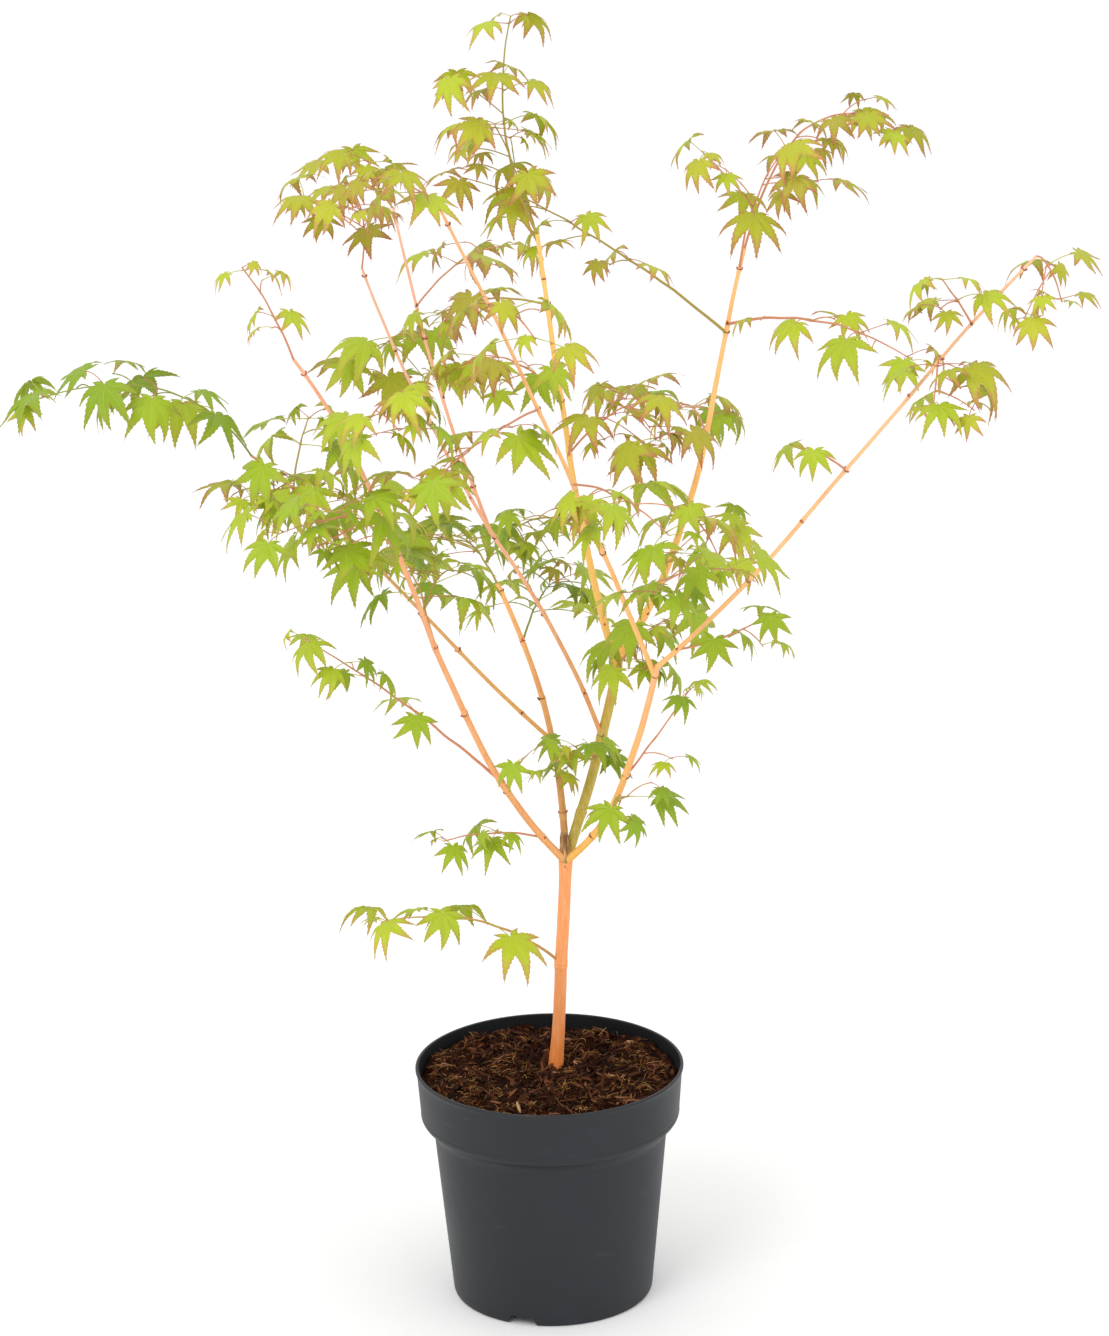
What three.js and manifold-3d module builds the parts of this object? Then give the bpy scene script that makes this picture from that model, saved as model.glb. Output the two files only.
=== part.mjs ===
// A young tree with palmate leaves in a round nursery pot, in millimetres.
// +X is right, +Y is back, +Z is up. The origin is the centre of the pot's flat underside.
import * as THREE from "three";
import { mergeVertices } from "three/addons/utils/BufferGeometryUtils.js";
import Module from "manifold-3d";

const wasm = await Module();
wasm.setup();

// Driving dimensions of the pot and its filling
const POT = {
  height: 172,
  rim: 95.3,
  rimLip: 4,
  bandTop: 94.3,
  bandFoot: 92.2,
  bandFootHeight: 138.8,
  shoulder: 83,
  shoulderHeight: 123.8,
  foot: 71.5,
  footEdge: 70,
  footRound: 3,
  mouldStep: 0.75,
  mouldStepHeight: 0.42,
  lipRound: 0.8,
  wall: 2.2,
  floorUnder: 7,
  floorThick: 2.5,
  footRing: 9,
  pad: 15,
  padFlare: 2,
  insideStep: 1,
};
const NOTCH = { count: 3, width: 22, topWidth: 16, height: 6.5, depth: 14, over: 3, firstDeg: 251.5 };
const ROUND_STEPS = 28;
const SOIL = { top: 165, edgeDip: 2, flat: 24, gap: 0.45, rings: [0.8, 0.58, 0.38] };
const SOIL_WAVES = { height: 0.8, around: [5, 9], outward: [0.21, -0.33] };
const GAP = 0.35;

// Driving dimensions of the limbs and leaves
const LIMB_SIDES = 6;
const LIMB_STEP = 52;
const FLARE = { extra: 1.05, height: 40, buried: 11, step: 22 };
const GROUND_BLOCK = { width: 60, depth: 40 };
const STUB = { length: 16, radius: 3.7, taper: 0.9, sunk: 3, lean: [-2.5, -1] };
const TWIG = { sides: 3, step: 42, foot: 2, share: 0.9, tip: 1.3, side: 1.43, shortest: 34, longest: 58 };
const STALK = { radius: 0.6, shortest: 0.5, longest: 0.85 };
const BLADE = { half: 0.85, droop: 0.16 };
const LOBES = [
  { angle: 0, reach: 1 },
  { angle: 43, reach: 0.9 },
  { angle: 90, reach: 0.62 },
];
const SINUS = 0.36;
const STALK_JOIN = { angle: 150, reach: 0.12 };
const TRIES = 9;
const LEAF_CLEAR = 0.8;
const LOBE_HALF = 0.118;
const LOBE_TIP = 0.4;
const PAIR = { first: 0.46, firstOfMany: 0.3, last: 0.97, forward: 0.35, jitter: 0.35 };
const LEAF_SIZE = { low: 1.08, high: 0.82, smallest: 0.82, largest: 1.12, retry: 0.03 };
const LEAF_POSE = { turn: 0.5, lowest: -0.15, highest: 0.45, level: 0.35, hanging: 1.15, roll: 0.5 };
const SPRAY = { first: 0.34, last: 0.8, out: 0.85, along: 0.5, lift: 0.1, bow: 2, pair: 0.94, size: 0.9 };
const TEST = { step: 24, clearFrom: 0.3, stalkFrom: 0.25 };
const CROWN = { left: -370, right: 376, front: -285, back: 285, top: 943 };

// A limb or a leafy shoot grows on another limb, at a share of that limb's length, and runs to
// its own end, pushed out by its bow at mid length
const grow = (name, on, at, to, bow, sizes) => ({ name, on, at, to, bow, ...sizes });

// foot and tip are the diameters of a limb's two ends
const TRUNK = { name: "trunk", from: [4, 15, 154], to: [14, 0, 325], bow: [0.5, 1, 0], foot: 9, tip: 8.7 };
const LIMBS = [
  TRUNK,
  grow("left_bough", "trunk", 1, [-157, -148, 729], [-5.5, -9, -1],
    { foot: 5.2, tip: 2.2, swing: [-27.5, 0, -16] }),
  grow("right_bough", "trunk", 1, [78, -74, 491], [10.5, -5, -6],
    { foot: 5.2, tip: 4.2, swing: [6, 0, -4] }),
  grow("main_leader", "trunk", 1, [54, 45, 461], [3, 3, 0], { foot: 7.2, tip: 7 }),
  grow("left_leader", "trunk", 1, [-31, 100, 498], [11, -4, 4], { foot: 5.4, tip: 3.2 }),
  grow("arching_bough", "left_leader", 0.42, [-194, -30, 632], [0, 10, 1],
    { foot: 3, tip: 1.9, swing: [4, 0, -16] }),
  grow("right_leader", "main_leader", 1, [147, 136, 730], [13, 2, -6],
    { foot: 5.8, tip: 2.6, swing: [13, 0, -5] }),
  grow("centre_leader", "main_leader", 0.93, [2, 20, 770], [-5.5, 9, -1],
    { foot: 5.4, tip: 2.8, swing: [-3, 0, 0] }),
  grow("back_bough", "main_leader", 0.6, [-34, 40, 554], [5, -1, 2], { foot: 3.4, tip: 2.6 }),
  grow("back_fork", "back_bough", 1, [-99, 150, 760], [-5, 3, -2], { foot: 2.6, tip: 1.8 }),
  grow("left_fork", "back_bough", 0.97, [-117, 10, 751], [-6, 6, -1], { foot: 2.6, tip: 1.7 }),
  grow("outer_bough", "right_bough", 1, [319, -190, 799], [3.5, 2, -2.2],
    { foot: 3.4, tip: 1.9, swing: [8, 0, -7] }),
  grow("front_leader", "right_bough", 0.96, [-60, -110, 817], [3.5, -5, 2], { foot: 3.6, tip: 2 }),
];

// Each mass of leaves grows round one stem. nodes are the pairs of leaves on the stem, sprays are
// side twigs with a pair of their own, and leaf is the length of the middle lobe.
const MASSES = [
  grow("low_shoot", "trunk", 0.53, [-114, -50, 301], [6, 0, 16], { nodes: 3, sprays: 0, leaf: 32 }),
  grow("fork_shoot", "left_bough", 0.06, [-70, -46, 358], [0, 0, 5], { nodes: 2, sprays: 0, leaf: 27 }),
  grow("left_low_shoot", "left_bough", 0.19, [-160, -84, 519], [3, 0, 3], { nodes: 3, sprays: 0, leaf: 27 }),
  grow("left_spur", "left_bough", 0.17, [-12, -72, 428], [0, 0, 3], { nodes: 1, sprays: 0, leaf: 20 }),
  grow("left_under", "left_bough", 0.46, [-91, -50, 563], [0, 0, 6], { nodes: 2, sprays: 1, leaf: 36 }),
  grow("left_front", "left_bough", 0.63, [-132, -190, 638], [0, 0, 8], { nodes: 2, sprays: 2, leaf: 36 }),
  grow("left_inner", "left_bough", 0.52, [-61, -20, 546], [0, -8, 10], { nodes: 2, sprays: 1, leaf: 34 }),
  grow("mid_left", "left_bough", 0.82, [-92, -160, 706], [0, -4, 8], { nodes: 2, sprays: 1, leaf: 34 }),
  grow("left_tip", "left_bough", 1, [-187, -166, 795], [3, 0, 0], { nodes: 2, sprays: 0, leaf: 21 }),
  grow("arch_back", "arching_bough", 0.58, [-126, 120, 558], [0, 0, 10], { nodes: 2, sprays: 1, leaf: 36 }),
  grow("arch_under", "arching_bough", 0.72, [-166, -60, 626], [0, 0, 8], { nodes: 2, sprays: 1, leaf: 35 }),
  grow("arch_high", "arching_bough", 0.86, [-158, 50, 636], [0, 0, 8], { nodes: 2, sprays: 0, leaf: 35 }),
  grow("far_left", "arching_bough", 1, [-335, -62, 682], [14, 0, 26], { nodes: 4, sprays: 0, leaf: 38 }),
  grow("leader_back", "left_leader", 1, [-62, 220, 498], [0, 0, 8], { nodes: 2, sprays: 2, leaf: 36 }),
  grow("leader_inner", "left_leader", 0.78, [12, 190, 472], [0, 0, 10], { nodes: 2, sprays: 1, leaf: 34 }),
  grow("right_low", "right_bough", 0.32, [58, -56, 392], [0, 0, 3], { nodes: 1, sprays: 0, leaf: 27 }),
  grow("main_low", "main_leader", 0.5, [22, -18, 416], [0, 0, -4], { nodes: 3, sprays: 0, leaf: 27 }),
  grow("main_right", "main_leader", 0.93, [78, -12, 500], [0, 0, 5], { nodes: 2, sprays: 1, leaf: 35 }),
  grow("upper_left", "left_fork", 1, [-120, -10, 808], [4, 0, 4], { nodes: 2, sprays: 2, leaf: 30 }),
  grow("back_tip", "back_fork", 1, [-116, 160, 792], [-4, 4, 0], { nodes: 2, sprays: 1, leaf: 30 }),
  grow("back_right", "back_fork", 0.7, [-22, 222, 714], [0, 4, 10], { nodes: 2, sprays: 0, leaf: 33 }),
  grow("back_left", "back_fork", 0.6, [-126, 170, 636], [0, 4, 12], { nodes: 2, sprays: 1, leaf: 34 }),
  grow("front_tip", "front_leader", 1, [-92, -130, 844], [3, 0, 2], { nodes: 2, sprays: 1, leaf: 28 }),
  grow("front_high", "front_leader", 0.8, [0, -166, 744], [0, -4, 8], { nodes: 2, sprays: 0, leaf: 32 }),
  grow("front_left", "front_leader", 0.58, [-73, -190, 652], [4, -6, 10], { nodes: 2, sprays: 1, leaf: 34 }),
  grow("front_right", "front_leader", 0.42, [84, -196, 620], [0, -6, 10], { nodes: 2, sprays: 1, leaf: 35 }),
  grow("front_low", "front_leader", 0.16, [122, -176, 590], [0, 0, 8], { nodes: 2, sprays: 1, leaf: 33 }),
  grow("centre_back", "centre_leader", 0.34, [-38, 180, 502], [0, 4, 10], { nodes: 2, sprays: 1, leaf: 34 }),
  grow("centre_right", "centre_leader", 0.5, [76, 10, 654], [0, -4, 10], { nodes: 2, sprays: 2, leaf: 35 }),
  grow("centre_left", "centre_leader", 0.62, [-34, -26, 696], [0, 0, 10], { nodes: 2, sprays: 1, leaf: 33 }),
  grow("centre_high", "centre_leader", 0.84, [-68, 56, 706], [0, 0, 8], { nodes: 2, sprays: 0, leaf: 32 }),
  grow("top_shoot", "centre_leader", 1, [-13, -6, 924], [-13, 1, -2], { nodes: 4, sprays: 1, leaf: 29 }),
  grow("top_side", "centre_leader", 0.9, [-26, 50, 840], [4, 12, 2], { nodes: 2, sprays: 2, leaf: 31 }),
  grow("long_left", "right_leader", 0.8, [-22, 34, 800], [3, -1, 6], { nodes: 3, sprays: 0, leaf: 27 }),
  grow("long_right", "right_leader", 0.82, [256, 10, 680], [1, 2, 14], { nodes: 3, sprays: 0, leaf: 31 }),
  grow("arch_tip", "right_leader", 1, [256, 140, 810], [-9, 8, 44], { nodes: 4, sprays: 0, leaf: 27 }),
  grow("right_top", "right_leader", 0.95, [176, 100, 812], [-6, 0, 4], { nodes: 2, sprays: 2, leaf: 32 }),
  grow("right_back", "right_leader", 0.56, [102, 232, 588], [0, 4, 10], { nodes: 2, sprays: 1, leaf: 35 }),
  grow("right_mid", "right_leader", 0.36, [124, 16, 538], [0, -4, 10], { nodes: 2, sprays: 1, leaf: 33 }),
  grow("outer_tip", "outer_bough", 1, [337, -178, 766], [0, 0, 8], { nodes: 2, sprays: 1, leaf: 23 }),
  grow("outer_left", "outer_bough", 0.84, [258, -200, 788], [0, 0, 2], { nodes: 2, sprays: 0, leaf: 25 }),
  grow("outer_drop", "outer_bough", 0.76, [254, -196, 702], [0, 0, 10], { nodes: 2, sprays: 1, leaf: 29 }),
  grow("outer_small", "outer_bough", 0.5, [180, -152, 662], [0, 0, 2], { nodes: 1, sprays: 0, leaf: 23 }),
  grow("outer_low", "outer_bough", 0.05, [150, -112, 538], [1, 0, -4], { nodes: 2, sprays: 0, leaf: 25 }),
  grow("right_spur", "right_bough", 0.5, [100, -72, 474], [0, 2, -2], { nodes: 1, sprays: 0, leaf: 19 }),
];
// Masses that end above this height have the older, olive leaves
const HIGH_LEAVES = 688;

// The growth of each mass starts from its own seed
const SEED = 4107;
const SEED_STEP = 97;
const UP = new THREE.Vector3(0, 0, 1);
const vector = (list) => new THREE.Vector3(...list);
const mix = (low, high, share) => low + (high - low) * share;

// A repeatable stream of numbers from 0 to 1
function seeded(seed) {
  let state = seed >>> 0;
  return () => {
    state = (state + 0x6d2b79f5) >>> 0;
    let word = Math.imul(state ^ (state >>> 15), state | 1);
    word = (word + Math.imul(word ^ (word >>> 7), word | 61)) ^ word;
    return ((word ^ (word >>> 14)) >>> 0) / 4294967296;
  };
}

// Solids and back again
function toSolid(geometry) {
  const plain = geometry.index ? geometry.clone() : geometry;
  plain.deleteAttribute("normal");
  plain.deleteAttribute("uv");
  const merged = mergeVertices(plain, 1e-4);
  return new wasm.Manifold(new wasm.Mesh({
    numProp: 3,
    vertProperties: new Float32Array(merged.attributes.position.array),
    triVerts: new Uint32Array(merged.index.array),
  }));
}

function toGeometry(body) {
  const mesh = body.getMesh();
  const geometry = new THREE.BufferGeometry();
  geometry.setAttribute("position", new THREE.BufferAttribute(mesh.vertProperties, 3));
  geometry.setIndex(new THREE.BufferAttribute(mesh.triVerts, 1));
  geometry.computeVertexNormals();
  return geometry;
}

// The largest of the pieces that a cut leaves, without loose scraps
function largest(body) {
  return body.decompose().sort((a, b) => b.volume() - a.volume())[0];
}

// A curve from one point to another, pushed out by its bow at mid length; its swing pushes the
// first half one way and the second half the other
function bowed(from, to, bow, swing = new THREE.Vector3()) {
  const first = from.clone().lerp(to, 1 / 3).addScaledVector(bow, 4 / 3).add(swing);
  const second = from.clone().lerp(to, 2 / 3).addScaledVector(bow, 4 / 3).sub(swing);
  return new THREE.CubicBezierCurve3(from, first, second, to);
}

// A straight-sided form along Y from -0.5 to 0.5 is carried onto a curve
function bend(geometry, curve, steps, radius) {
  const tangent = curve.getTangent(0);
  const side = new THREE.Vector3(1, 0, 0);
  if (Math.abs(tangent.x) > 0.8) side.set(0, 1, 0);
  const frames = [];
  for (let i = 0; i <= steps; i++) {
    const along = curve.getTangent(i / steps);
    side.addScaledVector(along, -side.dot(along)).normalize();
    const across = new THREE.Vector3().crossVectors(side, along);
    frames.push({ centre: curve.getPoint(i / steps), side: side.clone(), across });
  }
  const position = geometry.attributes.position;
  for (let i = 0; i < position.count; i++) {
    const share = position.getY(i) + 0.5;
    const frame = frames[Math.round(share * steps)];
    const size = radius(share);
    const point = frame.centre.clone()
      .addScaledVector(frame.side, position.getX(i) * size)
      .addScaledVector(frame.across, position.getZ(i) * size);
    position.setXYZ(i, point.x, point.y, point.z);
  }
  return geometry;
}

function taperedTube(curve, footRadius, tipRadius, sides, step, flare = () => 0) {
  const steps = Math.max(2, Math.round(curve.getLength() / step));
  const round = new THREE.CylinderGeometry(1, 1, 1, sides, steps);
  return bend(round, curve, steps, (t) => mix(footRadius, tipRadius, t) + flare(t));
}

// The nursery pot: a stepped wall, a foot ring with drain notches and a pad under the middle
function roundedStep() {
  return [
    mix(POT.shoulder, POT.bandFoot, POT.mouldStep),
    mix(POT.shoulderHeight, POT.bandFootHeight, POT.mouldStepHeight),
  ];
}

function potOuter() {
  return [
    [POT.footEdge, 0],
    [POT.foot, POT.footRound],
    [POT.shoulder, POT.shoulderHeight],
    roundedStep(),
    [POT.bandFoot, POT.bandFootHeight],
    [POT.bandTop, POT.height - POT.rimLip],
    [POT.rim, POT.height - POT.rimLip + POT.insideStep],
    [POT.rim, POT.height - POT.lipRound],
    [POT.rim - POT.lipRound, POT.height],
  ];
}

function potInner(clearance) {
  const inset = POT.wall + clearance;
  const [stepRadius, stepHeight] = roundedStep();
  return [
    [POT.foot - inset, POT.floorUnder + POT.floorThick + clearance],
    [POT.shoulder - inset, POT.shoulderHeight + POT.insideStep],
    [stepRadius - inset, stepHeight + POT.insideStep],
    [POT.bandFoot - inset, POT.bandFootHeight + POT.insideStep],
  ];
}

function lathe(profile) {
  const points = profile.map(([radius, height]) => new THREE.Vector2(radius, height));
  return new THREE.LatheGeometry(points, ROUND_STEPS).rotateX(Math.PI / 2);
}

function drainNotch(angle) {
  const outline = new THREE.Shape([
    new THREE.Vector2(-NOTCH.width / 2, -NOTCH.over),
    new THREE.Vector2(NOTCH.width / 2, -NOTCH.over),
    new THREE.Vector2(NOTCH.topWidth / 2, NOTCH.height),
    new THREE.Vector2(-NOTCH.topWidth / 2, NOTCH.height),
  ]);
  const block = new THREE.ExtrudeGeometry(outline, { depth: NOTCH.depth, bevelEnabled: false });
  block.rotateX(Math.PI / 2).rotateZ(Math.PI / 2).translate(POT.foot - NOTCH.depth + NOTCH.over, 0, 0);
  return toSolid(block.rotateZ(angle));
}

function potSolid() {
  const ringInner = POT.footEdge - POT.footRing;
  const profile = [
    [0, 0],
    [POT.pad, 0],
    [POT.pad + POT.padFlare, POT.floorUnder],
    [ringInner, POT.floorUnder],
    [ringInner, 0],
    ...potOuter(),
    [POT.rim - POT.wall, POT.height],
    [POT.bandTop - POT.wall, POT.height - POT.rimLip / 2],
    ...potInner(0).reverse(),
    [0, POT.floorUnder + POT.floorThick],
  ];
  let pot = toSolid(lathe(profile));
  for (let i = 0; i < NOTCH.count; i++) {
    const angle = THREE.MathUtils.degToRad(NOTCH.firstDeg + (i * 360) / NOTCH.count);
    pot = pot.subtract(drainNotch(angle));
  }
  return pot;
}

// The potting mix fills the pot to a little under its rim, flat round the trunk and uneven beyond
function soilSolid() {
  const rise = (SOIL.top - SOIL.edgeDip - POT.bandFootHeight) / (POT.height - POT.bandFootHeight);
  const edge = mix(POT.bandFoot, POT.bandTop, rise) - POT.wall - SOIL.gap;
  const profile = [
    [0, POT.floorUnder + POT.floorThick + SOIL.gap],
    ...potInner(SOIL.gap),
    [edge, SOIL.top - SOIL.edgeDip],
    ...SOIL.rings.map((share) => [edge * share, SOIL.top]),
    [SOIL.flat, SOIL.top],
    [0, SOIL.top],
  ];
  const geometry = lathe(profile);
  const position = geometry.attributes.position;
  for (let i = 0; i < position.count; i++) {
    const radius = Math.hypot(position.getX(i), position.getY(i));
    if (position.getZ(i) < SOIL.top - GAP || radius < SOIL.flat + GAP) continue;
    const angle = Math.atan2(position.getY(i), position.getX(i));
    let wave = 0;
    SOIL_WAVES.around.forEach((count, k) => {
      wave += Math.sin(count * angle + SOIL_WAVES.outward[k] * radius);
    });
    position.setZ(i, SOIL.top + SOIL_WAVES.height * wave);
  }
  return toSolid(geometry);
}

// Limbs: the curve of each, its radius, and its body with an optional clearance all round
const limbs = new Map();
for (const limb of LIMBS) {
  const from = limb.on ? limbs.get(limb.on).curve.getPoint(limb.at) : vector(limb.from);
  const curve = bowed(from, vector(limb.to), vector(limb.bow), vector(limb.swing ?? [0, 0, 0]));
  limbs.set(limb.name, { ...limb, curve, length: curve.getLength() });
}

function limbRadius(limb, share) {
  return mix(limb.foot, limb.tip, share) / 2;
}

function limbBody(limb, clearance) {
  const curve = limb.curve.clone();
  curve.v0.addScaledVector(limb.curve.getTangent(0), -clearance);
  curve.v2.addScaledVector(limb.curve.getTangent(1), clearance);
  const [foot, tip] = [limbRadius(limb, 0), limbRadius(limb, 1)];
  if (limb.name !== "trunk") {
    return toSolid(taperedTube(curve, foot, tip, LIMB_SIDES, LIMB_STEP, () => clearance));
  }
  const flare = (t) => {
    const height = t * limb.length - FLARE.buried;
    return clearance + FLARE.extra * Math.max(0, 1 - height / FLARE.height) ** 2;
  };
  const stem = toSolid(taperedTube(curve, foot, tip, LIMB_SIDES, FLARE.step, flare));
  const below = new THREE.BoxGeometry(GROUND_BLOCK.width, GROUND_BLOCK.width, GROUND_BLOCK.depth);
  below.translate(0, 0, SOIL.top + GAP - GROUND_BLOCK.depth / 2);
  return stem.subtract(toSolid(below)).add(deadStub(clearance));
}

// The dead end of the old leader stands in the fork
function deadStub(clearance) {
  const [x, y, z] = TRUNK.to;
  const foot = new THREE.Vector3(x, y, z - STUB.sunk);
  const end = new THREE.Vector3(x + STUB.lean[0], y + STUB.lean[1], z + STUB.length + clearance);
  const radius = STUB.radius + clearance;
  const curve = bowed(foot, end, new THREE.Vector3());
  return toSolid(taperedTube(curve, radius, radius * STUB.taper, LIMB_SIDES, LIMB_STEP));
}

// Places that are already taken: groups of capsules, each inside a bounding sphere
const taken = [];

function capsuleGroup(capsules) {
  const centre = new THREE.Vector3();
  for (const part of capsules) centre.add(part.a).add(part.b);
  centre.multiplyScalar(0.5 / capsules.length);
  let radius = 0;
  for (const part of capsules) {
    radius = Math.max(radius, centre.distanceTo(part.a) + part.ra, centre.distanceTo(part.b) + part.rb);
  }
  return { capsules, centre, radius };
}

function curveCapsules(curve, length, step, radius) {
  const steps = Math.max(2, Math.round(length / step));
  const parts = [];
  for (let i = 0; i < steps; i++) {
    const [low, high] = [i / steps, (i + 1) / steps];
    parts.push({ a: curve.getPoint(low), b: curve.getPoint(high), ra: radius(low), rb: radius(high) });
  }
  return parts;
}

// How far apart two capsules lie, skin to skin
function capsuleGap(one, two) {
  const d1 = one.b.clone().sub(one.a);
  const d2 = two.b.clone().sub(two.a);
  const r = one.a.clone().sub(two.a);
  const [a, e, f, c, b] = [d1.dot(d1), d2.dot(d2), d2.dot(r), d1.dot(r), d1.dot(d2)];
  const denominator = a * e - b * b;
  let s = denominator > 1e-9 ? THREE.MathUtils.clamp((b * f - c * e) / denominator, 0, 1) : 0;
  let t = (b * s + f) / e;
  if (t < 0 || t > 1) {
    t = THREE.MathUtils.clamp(t, 0, 1);
    s = THREE.MathUtils.clamp((b * t - c) / a, 0, 1);
  }
  const near = one.a.clone().addScaledVector(d1, s).distanceTo(two.a.clone().addScaledVector(d2, t));
  return near - mix(one.ra, one.rb, s) - mix(two.ra, two.rb, t);
}

function isFree(group, skipped) {
  for (const other of taken) {
    if (skipped.includes(other)) continue;
    if (group.centre.distanceTo(other.centre) > group.radius + other.radius + LEAF_CLEAR) continue;
    for (const one of group.capsules) {
      for (const two of other.capsules) {
        if (capsuleGap(one, two) < LEAF_CLEAR) return false;
      }
    }
  }
  return true;
}

// A leaf: a stalk from its twig, and a blade of five lobes round the stalk's end
function leafForm(root, out, length, random) {
  const flat = out.clone().setZ(0).normalize();
  flat.applyAxisAngle(UP, mix(-LEAF_POSE.turn, LEAF_POSE.turn, random()));
  const lift = mix(LEAF_POSE.lowest, LEAF_POSE.highest, random());
  const reach = length * mix(STALK.shortest, STALK.longest, random());
  const base = root.clone().addScaledVector(flat, reach * Math.cos(lift));
  base.z += reach * Math.sin(lift);
  const droop = mix(LEAF_POSE.level, LEAF_POSE.hanging, random());
  const middle = flat.clone().multiplyScalar(Math.cos(droop)).addScaledVector(UP, -Math.sin(droop));
  const face = UP.clone().addScaledVector(middle, -middle.z).normalize();
  face.applyAxisAngle(middle, mix(-LEAF_POSE.roll, LEAF_POSE.roll, random()));
  const side = new THREE.Vector3().crossVectors(face, middle);
  return { root, base, middle, side, face, length };
}

function lobeTip(leaf, angle, reach) {
  const radians = THREE.MathUtils.degToRad(angle);
  return leaf.base.clone()
    .addScaledVector(leaf.middle, Math.cos(radians) * reach * leaf.length)
    .addScaledVector(leaf.side, Math.sin(radians) * reach * leaf.length)
    .addScaledVector(leaf.face, -BLADE.droop * reach * reach * leaf.length);
}

function leafTips(leaf) {
  const tips = [];
  for (const lobe of LOBES) {
    tips.push(lobeTip(leaf, lobe.angle, lobe.reach));
    if (lobe.angle) tips.push(lobeTip(leaf, -lobe.angle, lobe.reach));
  }
  return tips;
}

function leafGroup(leaf) {
  const capsules = leafTips(leaf).map((tip) => ({
    a: leaf.base, b: tip, ra: LOBE_HALF * leaf.length, rb: LOBE_TIP,
  }));
  const stalkStart = leaf.root.clone().lerp(leaf.base, TEST.stalkFrom);
  capsules.push({ a: stalkStart, b: leaf.base, ra: STALK.radius, rb: STALK.radius });
  return capsuleGroup(capsules);
}

function insideCrown(point) {
  return point.x > CROWN.left && point.x < CROWN.right && point.y > CROWN.front
    && point.y < CROWN.back && point.z < CROWN.top;
}

// A leaf is tried in a few poses and left out where none is free
function tryLeaf(mass, root, out, length, random) {
  for (let attempt = 0; attempt < TRIES; attempt++) {
    const leaf = leafForm(root, out, length * (1 - LEAF_SIZE.retry * attempt), random);
    if (!leafTips(leaf).every(insideCrown)) continue;
    const group = leafGroup(leaf);
    if (!isFree(group, mass.own)) continue;
    taken.push(group);
    mass.leaves.push(leaf);
    return;
  }
}

// Leaf pairs stand opposite each other. On an upright twig each pair is turned a quarter from
// the last, and on a level one they stay at its sides.
function pairDirections(along, quarter, random) {
  const level = Math.abs(along.z) > 0.9 ? new THREE.Vector3(1, 0, 0) : UP;
  const across = new THREE.Vector3().crossVectors(along, level).normalize();
  const turn = (quarter % 2) * (Math.PI / 2) * Math.abs(along.z);
  across.applyAxisAngle(along, turn + mix(-PAIR.jitter, PAIR.jitter, random()));
  return [across, across.clone().negate()];
}

function leafPair(mass, curve, share, quarter, length, random) {
  const root = curve.getPoint(share);
  const along = curve.getTangent(share);
  for (const across of pairDirections(along, quarter, random)) {
    const out = across.clone().addScaledVector(along, PAIR.forward);
    const size = mix(LEAF_SIZE.smallest, LEAF_SIZE.largest, random());
    tryLeaf(mass, root, out, length * size, random);
  }
}

// A side twig leaves its stem at a slant and lifts a little towards its end
function sideTwig(mass, share, spray, random) {
  const quarter = spray + 1;
  const root = mass.curve.getPoint(share);
  const along = mass.curve.getTangent(share);
  const reach = mix(TWIG.shortest, TWIG.longest, random());
  for (let attempt = 0; attempt < TRIES; attempt++) {
    const across = pairDirections(along, quarter + attempt, random)[(spray + attempt) % 2];
    const end = root.clone().addScaledVector(across, reach * SPRAY.out);
    end.addScaledVector(along, reach * SPRAY.along);
    end.z += reach * SPRAY.lift;
    const curve = bowed(root, end, new THREE.Vector3(0, 0, SPRAY.bow));
    const start = curve.getPoint(TEST.clearFrom);
    const group = capsuleGroup([{ a: start, b: end, ra: TWIG.side, rb: TWIG.tip }]);
    if (!insideCrown(end) || !isFree(group, mass.own)) continue;
    taken.push(group);
    mass.own.push(group);
    mass.twigs.push({ curve, foot: TWIG.side });
    leafPair(mass, curve, SPRAY.pair, quarter + 1, mass.leaf * SPRAY.size, random);
    return;
  }
}

function growMass(mass, index) {
  const random = seeded(SEED + index * SEED_STEP);
  const first = mass.nodes > 3 ? PAIR.firstOfMany : PAIR.first;
  for (let node = 0; node < mass.nodes; node++) {
    const share = mix(PAIR.last, first, (mass.nodes - 1 - node) / Math.max(1, mass.nodes - 1));
    const size = mass.leaf * mix(LEAF_SIZE.low, LEAF_SIZE.high, node / mass.nodes);
    leafPair(mass, mass.curve, share, node, size, random);
  }
  for (let spray = 0; spray < mass.sprays; spray++) {
    const share = mix(SPRAY.first, SPRAY.last, (spray + 0.5) / mass.sprays);
    sideTwig(mass, share, spray, random);
  }
}

// Stems are set out first, so that every leaf keeps clear of every limb and stem
for (const limb of limbs.values()) {
  const parts = curveCapsules(limb.curve, limb.length, TEST.step, (t) => limbRadius(limb, t));
  for (const part of parts) taken.push(capsuleGroup([part]));
}

const masses = MASSES.map((spec) => {
  const limb = limbs.get(spec.on);
  const from = limb.curve.getPoint(spec.at);
  const curve = bowed(from, vector(spec.to), vector(spec.bow));
  const foot = Math.min(limbRadius(limb, spec.at) * TWIG.share, TWIG.foot);
  const parts = curveCapsules(curve, curve.getLength(), TEST.step, (t) => mix(foot, TWIG.tip, t));
  const own = parts.map((part) => capsuleGroup([part]));
  taken.push(...own);
  return { ...spec, curve, foot, own, leaves: [], twigs: [] };
});
masses.forEach(growMass);

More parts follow.
